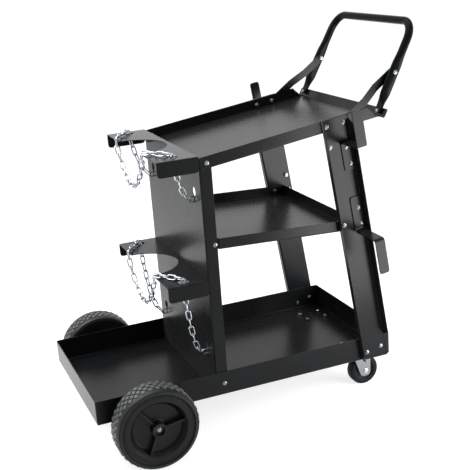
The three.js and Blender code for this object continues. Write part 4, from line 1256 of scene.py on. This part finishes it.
@dataclass
class CradleChain:
    """One chain: two ends that lie on a cradle and hang into the panel's keyholes, and a loop between them.

    The hole and the edge of the cradle and the slot of the keyhole are places along and across the cart.
    """

    word: str
    body: Body
    plate_top: float
    tail_links: int
    tail_drop: float
    wire: float = 3.5
    wire_facets: int = 10
    pitch: float = 21.0
    inner_width: float = 7.5
    # The bend falls just short of half the width, so that the two bends of a link's end don't meet.
    bend: float = 0.499
    bend_steps: int = 5
    lay_rise: float = 6.43
    lay_links: int = 4
    lay_turn: float = 45.0
    loop_links: int = 13
    loop_lift: float = 1.3
    loop_turn: float = 90.0
    hole: Point2 = (-193.48, 172.0)
    edge: Point2 = (-243.43, 104.47)
    slot: Point2 = (-153.66, 152.0)

    def strand(self, places: Places, pivots: Sequence[Vector], normal: Vector, first: float = 0.0) -> None:
        """Set a link between each two pivots, each a quarter turn on from the last.

        Args:
            places: Takes the links.
            pivots: Points along the chain in millimetres.
            normal: The first link's flat side before its turn.
            first: The first link's turn in degrees.
        """
        for i, (start, end) in enumerate(zip(pivots, pivots[1:])):
            along = (end - start).normalized()
            turn = Quaternion(along, math.radians(first + 90 * i))
            places.put((start + end) / 2, along, turn @ normal)

    def hanging(self, start: Vector, end: Vector, count: int) -> list[Vector]:
        """Hang a strand of links between two points in a catenary.

        Args:
            start: Its first pivot in millimetres.
            end: Its last pivot.
            count: The number of links.

        Returns:
            The pivots from end to end.
        """
        length = count * self.pitch
        level = Vector((end.x - start.x, end.y - start.y, 0))
        span = level.length
        rise = end.z - start.z
        target = math.sqrt(length ** 2 - rise ** 2)
        # The curve that is as long as the strand is found by halving the range of its size.
        low, high = span / 40, span * 40
        for _ in range(80):
            trial = (low + high) / 2
            if 2 * trial * math.sinh(span / (2 * trial)) > target:
                low = trial
            else:
                high = trial
        size = (low + high) / 2
        lowest = span / 2 - size * math.atanh(rise / length)
        out = []
        for k in range(count + 1):
            arc = length * k / count
            run = lowest + size * math.asinh(arc / size - math.sinh(lowest / size))
            sag = size * (math.cosh((run - lowest) / size) - math.cosh(lowest / size))
            out.append(start + level * run / span + UP * sag)
        return out

    def links(self, places: Places) -> Mesh:
        """Bend a link at each place.

        Args:
            places: Where the links go.

        Returns:
            The links as one mesh.
        """
        width = self.inner_width + self.wire
        mesh = grown(places.mesh(), link_tree(), {
            "Length": (self.pitch + self.wire) * MM,
            "Width": width * MM,
            "Bend": width * self.bend * MM,
            "Bend Steps": self.bend_steps,
            "Wire Radius": self.wire / 2 * MM,
            "Wire Facets": self.wire_facets,
            "Finish": ZINC.material(),
        })
        mesh.shade_smooth()
        return mesh

    def end(self, side: Side) -> None:
        """Lay one end on its cradle, hang its tail to the keyhole and hold it there.

        Args:
            side: The side it is on.
        """
        lay = self.plate_top + self.lay_rise
        spots = ((self.hole, lay), (self.edge, lay), (self.slot, self.tail_drop))
        hole, edge, slot = [Vector((x, -y, z)) for (x, y), z in spots]
        drop = UP * self.pitch
        behind = slot + ALONG * self.pitch
        laid = [edge.lerp(hole, k / self.lay_links) for k in range(self.lay_links + 1)]
        tail = self.hanging(hole, slot, self.tail_links)
        places = Places((1, -side.value, 1))
        self.strand(places, laid, UP, self.lay_turn)
        self.strand(places, tail, (slot - hole).cross(UP).normalized(), self.lay_turn)
        self.strand(places, [edge, edge - drop], ALONG)
        self.strand(places, [slot, behind], ACROSS)
        self.strand(places, [behind, behind - drop], ALONG)
        name = f"{self.word}_chain_{side.word}"
        piece(name + "_links", self.links(places), ZINC, Body.FRAME, name + "_end")

    def loop(self) -> None:
        """Hang the loop between the two ends."""
        top = self.plate_top + self.lay_rise - self.pitch + self.loop_lift
        start, finish = [Vector((self.edge[0], side.value * self.edge[1], top)) for side in Side]
        places = Places()
        self.strand(places, self.hanging(start, finish, self.loop_links), ALONG, self.loop_turn)
        name = self.word + "_chain_loop"
        piece(name + "_links", self.links(places), ZINC, self.body, name)

    def build(self) -> None:
        """Make both ends and the loop."""
        for side in Side:
            self.end(side)
        self.loop()


@dataclass(frozen=True)
class BoltRow:
    """Bolts through both sides: their places along and up the cart, and how far out head and nut seat."""

    spots: tuple[Point2, ...]
    head: float
    nut: float


@dataclass
class Bolting:
    """The bolts that hold the frame together: where heads and nuts seat, and how heads are turned."""

    hardware: Hardware = field(default_factory=Hardware)
    panel: BoltRow = BoltRow(((-123.5, 677.0), (-121.5, 136.0)), 203.0, 198.7)
    shelf: BoltRow = BoltRow(((-117.5, 483.0),), 200.7, 196.4)
    post: BoltRow = BoltRow((
        (177.5, 717.0), (222.5, 723.0), (185.0, 667.0), (215.5, 471.0), (267.0, 125.5), (306.5, 134.5),
    ), 205.3, 200.9)
    hook: BoltRow = BoltRow(((226.5, 663.5), (238.5, 623.0), (254.5, 510.5), (260.5, 469.0)), 208.6, 203.3)
    brace: BoltRow = BoltRow(((368.2, 822.3),), 200.6, 182.4)
    row_turn: float = 11.0
    row_turn_step: float = 37.0
    foot: Point3 = (317.06, 197.0, 736.24)
    foot_grip: float = 9.6
    foot_turn: float = 20.0
    caster: Point2 = (277.52, 121.0)
    caster_slots: Point2 = (28.0, 21.0)
    caster_seats: Point2 = (103.0, 108.3)
    caster_turns: Point2 = (50.0, 20.0)
    cradle: tuple[float, ...] = (683.0, 389.0)
    cradle_y: float = 126.0
    cradle_seats: Point2 = (-143.8, -139.48)
    cradle_turn: float = 65.0
    heads: Places = field(default_factory=Places)
    nuts: Places = field(default_factory=Places)

    def bolt(self, head: Vector, nut: Vector, out: Vector, turn: float) -> None:
        """Set one bolt.

        Args:
            head: Where the head seats, in millimetres.
            nut: Where the nut seats.
            out: The way that the head faces.
            turn: The turn of the head's recess in degrees.
        """
        square = Quaternion(out, math.radians(turn)) @ out.orthogonal().normalized()
        self.heads.put(head, out, square)
        self.nuts.put(nut, -out, square)

    def set_out(self, name: str, shape: Mesh, places: Places) -> None:
        """Make one piece of a fastener set at all its places.

        Args:
            name: The piece's name.
            shape: The fastener.
            places: Where the fasteners go.
        """
        source = linked("source", shape)
        values = {"Fastener": source, "Finish": BOLT_ZINC.material()}
        mesh = grown(places.mesh(), fastener_tree(), values)
        bpy.data.objects.remove(source)
        piece(name, smooth(mesh, crease=35), BOLT_ZINC, Body.FRAME)

    def build(self) -> None:
        """Set out every head and nut on the frame."""
        away = Vector((math.cos(LEAN), 0, -math.sin(LEAN)))
        for side in Side:
            sign = side.value
            for row in (self.panel, self.shelf, self.post, self.hook, self.brace):
                for i, (x, z) in enumerate(row.spots):
                    head, nut = [Vector((x, sign * y, z)) for y in (row.head, row.nut)]
                    self.bolt(head, nut, ACROSS * sign, self.row_turn + self.row_turn_step * i)
            foot = Vector(self.foot) * Vector((1, sign, 1))
            self.bolt(foot, foot + away * self.foot_grip, -away, self.foot_turn)
            for i, j in product((-1, 1), repeat=2):
                x = self.caster[0] + i * self.caster_slots[0]
                y = sign * self.caster[1] + j * self.caster_slots[1]
                head, nut = [Vector((x, y, z)) for z in self.caster_seats]
                self.bolt(head, nut, -UP, i * self.caster_turns[0] + j * self.caster_turns[1])
            for z in self.cradle:
                head, nut = [Vector((x, sign * self.cradle_y, z)) for x in self.cradle_seats]
                self.bolt(head, nut, -ALONG, self.cradle_turn)
        self.set_out("frame_bolt_heads", self.hardware.pan_head(), self.heads)
        self.set_out("frame_nuts", self.hardware.hex_nut(), self.nuts)


@dataclass(frozen=True)
class Lamp:
    """One soft box: its place, aim and size in metres, and its power in watts."""

    name: str
    spot: Point3
    aim: Point3
    size: Point2
    power: float

    def hang(self) -> None:
        """Hang the soft box where the camera doesn't see it."""
        data = bpy.data.lights.new(self.name, "AREA")
        data.shape = "RECTANGLE"
        data.size, data.size_y = self.size
        data.energy = self.power
        made = linked(self.name, data)
        made.location = self.spot
        made.visible_camera = False
        made.rotation_euler = (Vector(self.aim) - Vector(self.spot)).to_track_quat("-Z", "Y").to_euler()


@dataclass
class Studio:
    """The pale floor, the soft light and the camera, which is set from the middle of the bottom tray."""

    tray_offset: Point3 = (-779.14, -2165.35, 1152.76)
    yaw: float = 0.3711
    pitch: float = -0.3012
    roll: float = -0.0723
    lens: float = 73.38
    sensor: float = 36.0
    sight: float = 100.0
    floor_reach: float = 30.0
    floor_colour: str = "#e4e4e3"
    floor_shade: str = "#b4b4b4"
    floor_white: float = 0.74
    room_colour: str = "#eef1f5"
    room_light: float = 0.7
    lamps: tuple[Lamp, ...] = (
        Lamp("overhead", (-0.4, 0.4, 3.2), (0, 0, 0.4), (3.0, 3.0), 60),
        Lamp("right_front", (0.78, -0.67, 0.375), (0.3, 0.21, 0.375), (0.86, 0.68), 19),
        Lamp("back", (0.9, 3.0, 1.5), (0.1, 0, 0.6), (3.4, 1.5), 6),
        Lamp("left_floor", (-1.05, 0.65, 1.5), (-0.9, 0.5, 0), (1.2, 1.2), 26),
    )

    def camera(self) -> None:
        """Set the camera by its offset, its lens and its three turns."""
        data = bpy.data.cameras.new("camera")
        data.lens = self.lens
        data.sensor_width = self.sensor
        data.clip_end = self.sight
        made = linked("camera", data)
        level = math.cos(self.pitch)
        ahead = Vector((math.sin(self.yaw) * level, math.cos(self.yaw) * level, math.sin(self.pitch)))
        right = ahead.cross(UP).normalized()
        top = right.cross(ahead)
        cos, sin = math.cos(self.roll), math.sin(self.roll)
        turn = Matrix((right * cos + top * sin, top * cos - right * sin, -ahead)).transposed().to_4x4()
        place = ALONG * seat("bottom_tray")[0].x + Vector(self.tray_offset) * MM
        made.matrix_world = Matrix.Translation(place) @ turn
        bpy.context.scene.camera = made

    def seen(self, tree: NodeTree) -> Node:
        """Add the nodes that tell the rays which show the background: straight, mirrored or through glass.

        Args:
            tree: The node tree of a material or the world.

        Returns:
            The node that gives 1 for those rays and 0 for the others.
        """
        path = add(tree, "ShaderNodeLightPath").outputs
        straight, glossy, through = [path[f"Is {kind} Ray"] for kind in ("Camera", "Glossy", "Transmission")]
        either = add(tree, "ShaderNodeMath", [straight, glossy], operation="MAXIMUM")
        return add(tree, "ShaderNodeMath", [either, through], operation="MAXIMUM")

    def floor(self) -> None:
        """Lay a pale floor that keeps the cart's shadow."""
        mesh = bpy.data.meshes.new("floor")
        reach = self.floor_reach
        corners = [(-reach, -reach, 0), (reach, -reach, 0), (reach, reach, 0), (-reach, reach, 0)]
        mesh.from_pydata(corners, [], [(0, 1, 2, 3)])
        made = linked("floor", mesh)
        paper = bpy.data.materials.new("pale_floor")
        paper.use_nodes = True
        tree = paper.node_tree
        tree.nodes.clear()
        matt = add(tree, "ShaderNodeBsdfDiffuse", {"Color": linear(self.floor_colour)})
        shaded = add(tree, "ShaderNodeBsdfDiffuse", {"Color": linear(self.floor_shade)})
        white = add(tree, "ShaderNodeEmission", {"Color": (1, 1, 1, 1), "Strength": self.floor_white})
        shown = add(tree, "ShaderNodeAddShader", [shaded, white])
        mix = add(tree, "ShaderNodeMixShader", [self.seen(tree), matt, shown])
        add(tree, "ShaderNodeOutputMaterial", [mix])
        mesh.materials.append(paper)

    def world(self) -> None:
        """Set the cart in a white room that gives it only a soft, even light."""
        world = bpy.data.worlds.new("room")
        bpy.context.scene.world = world
        world.use_nodes = True
        tree = world.node_tree
        tree.nodes.clear()
        room = {"Color": linear(self.room_colour), "Strength": self.room_light}
        unseen = add(tree, "ShaderNodeBackground", room)
        white = add(tree, "ShaderNodeBackground", {"Color": (1, 1, 1, 1), "Strength": 1.0})
        mix = add(tree, "ShaderNodeMixShader", [self.seen(tree), unseen, white])
        add(tree, "ShaderNodeOutputWorld", [mix])

    def build(self) -> None:
        """Set the camera, the floor and the light."""
        self.camera()
        self.floor()
        self.world()
        for lamp in self.lamps:
            lamp.hang()
        bpy.context.scene.view_settings.view_transform = "Standard"


def main() -> None:
    """Build the cart's pieces in order."""
    logging.basicConfig(level=logging.INFO, format="%(message)s")
    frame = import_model()
    nodes = frame["nodes"]
    Studio().build()
    SheetMetal(nodes).build()
    Handle().build()
    for side in Side:
        LargeWheel(side).build()
        Caster(nodes, side).build()
    AxleSet(nodes).build()
    CradleChain("upper", Body.UPPER_LOOP, plate_top=694.0, tail_links=6, tail_drop=585.22).build()
    CradleChain("lower", Body.LOWER_LOOP, plate_top=400.0, tail_links=10, tail_drop=205.43).build()
    Bolting().build()


if __name__ == "__main__":
    main()
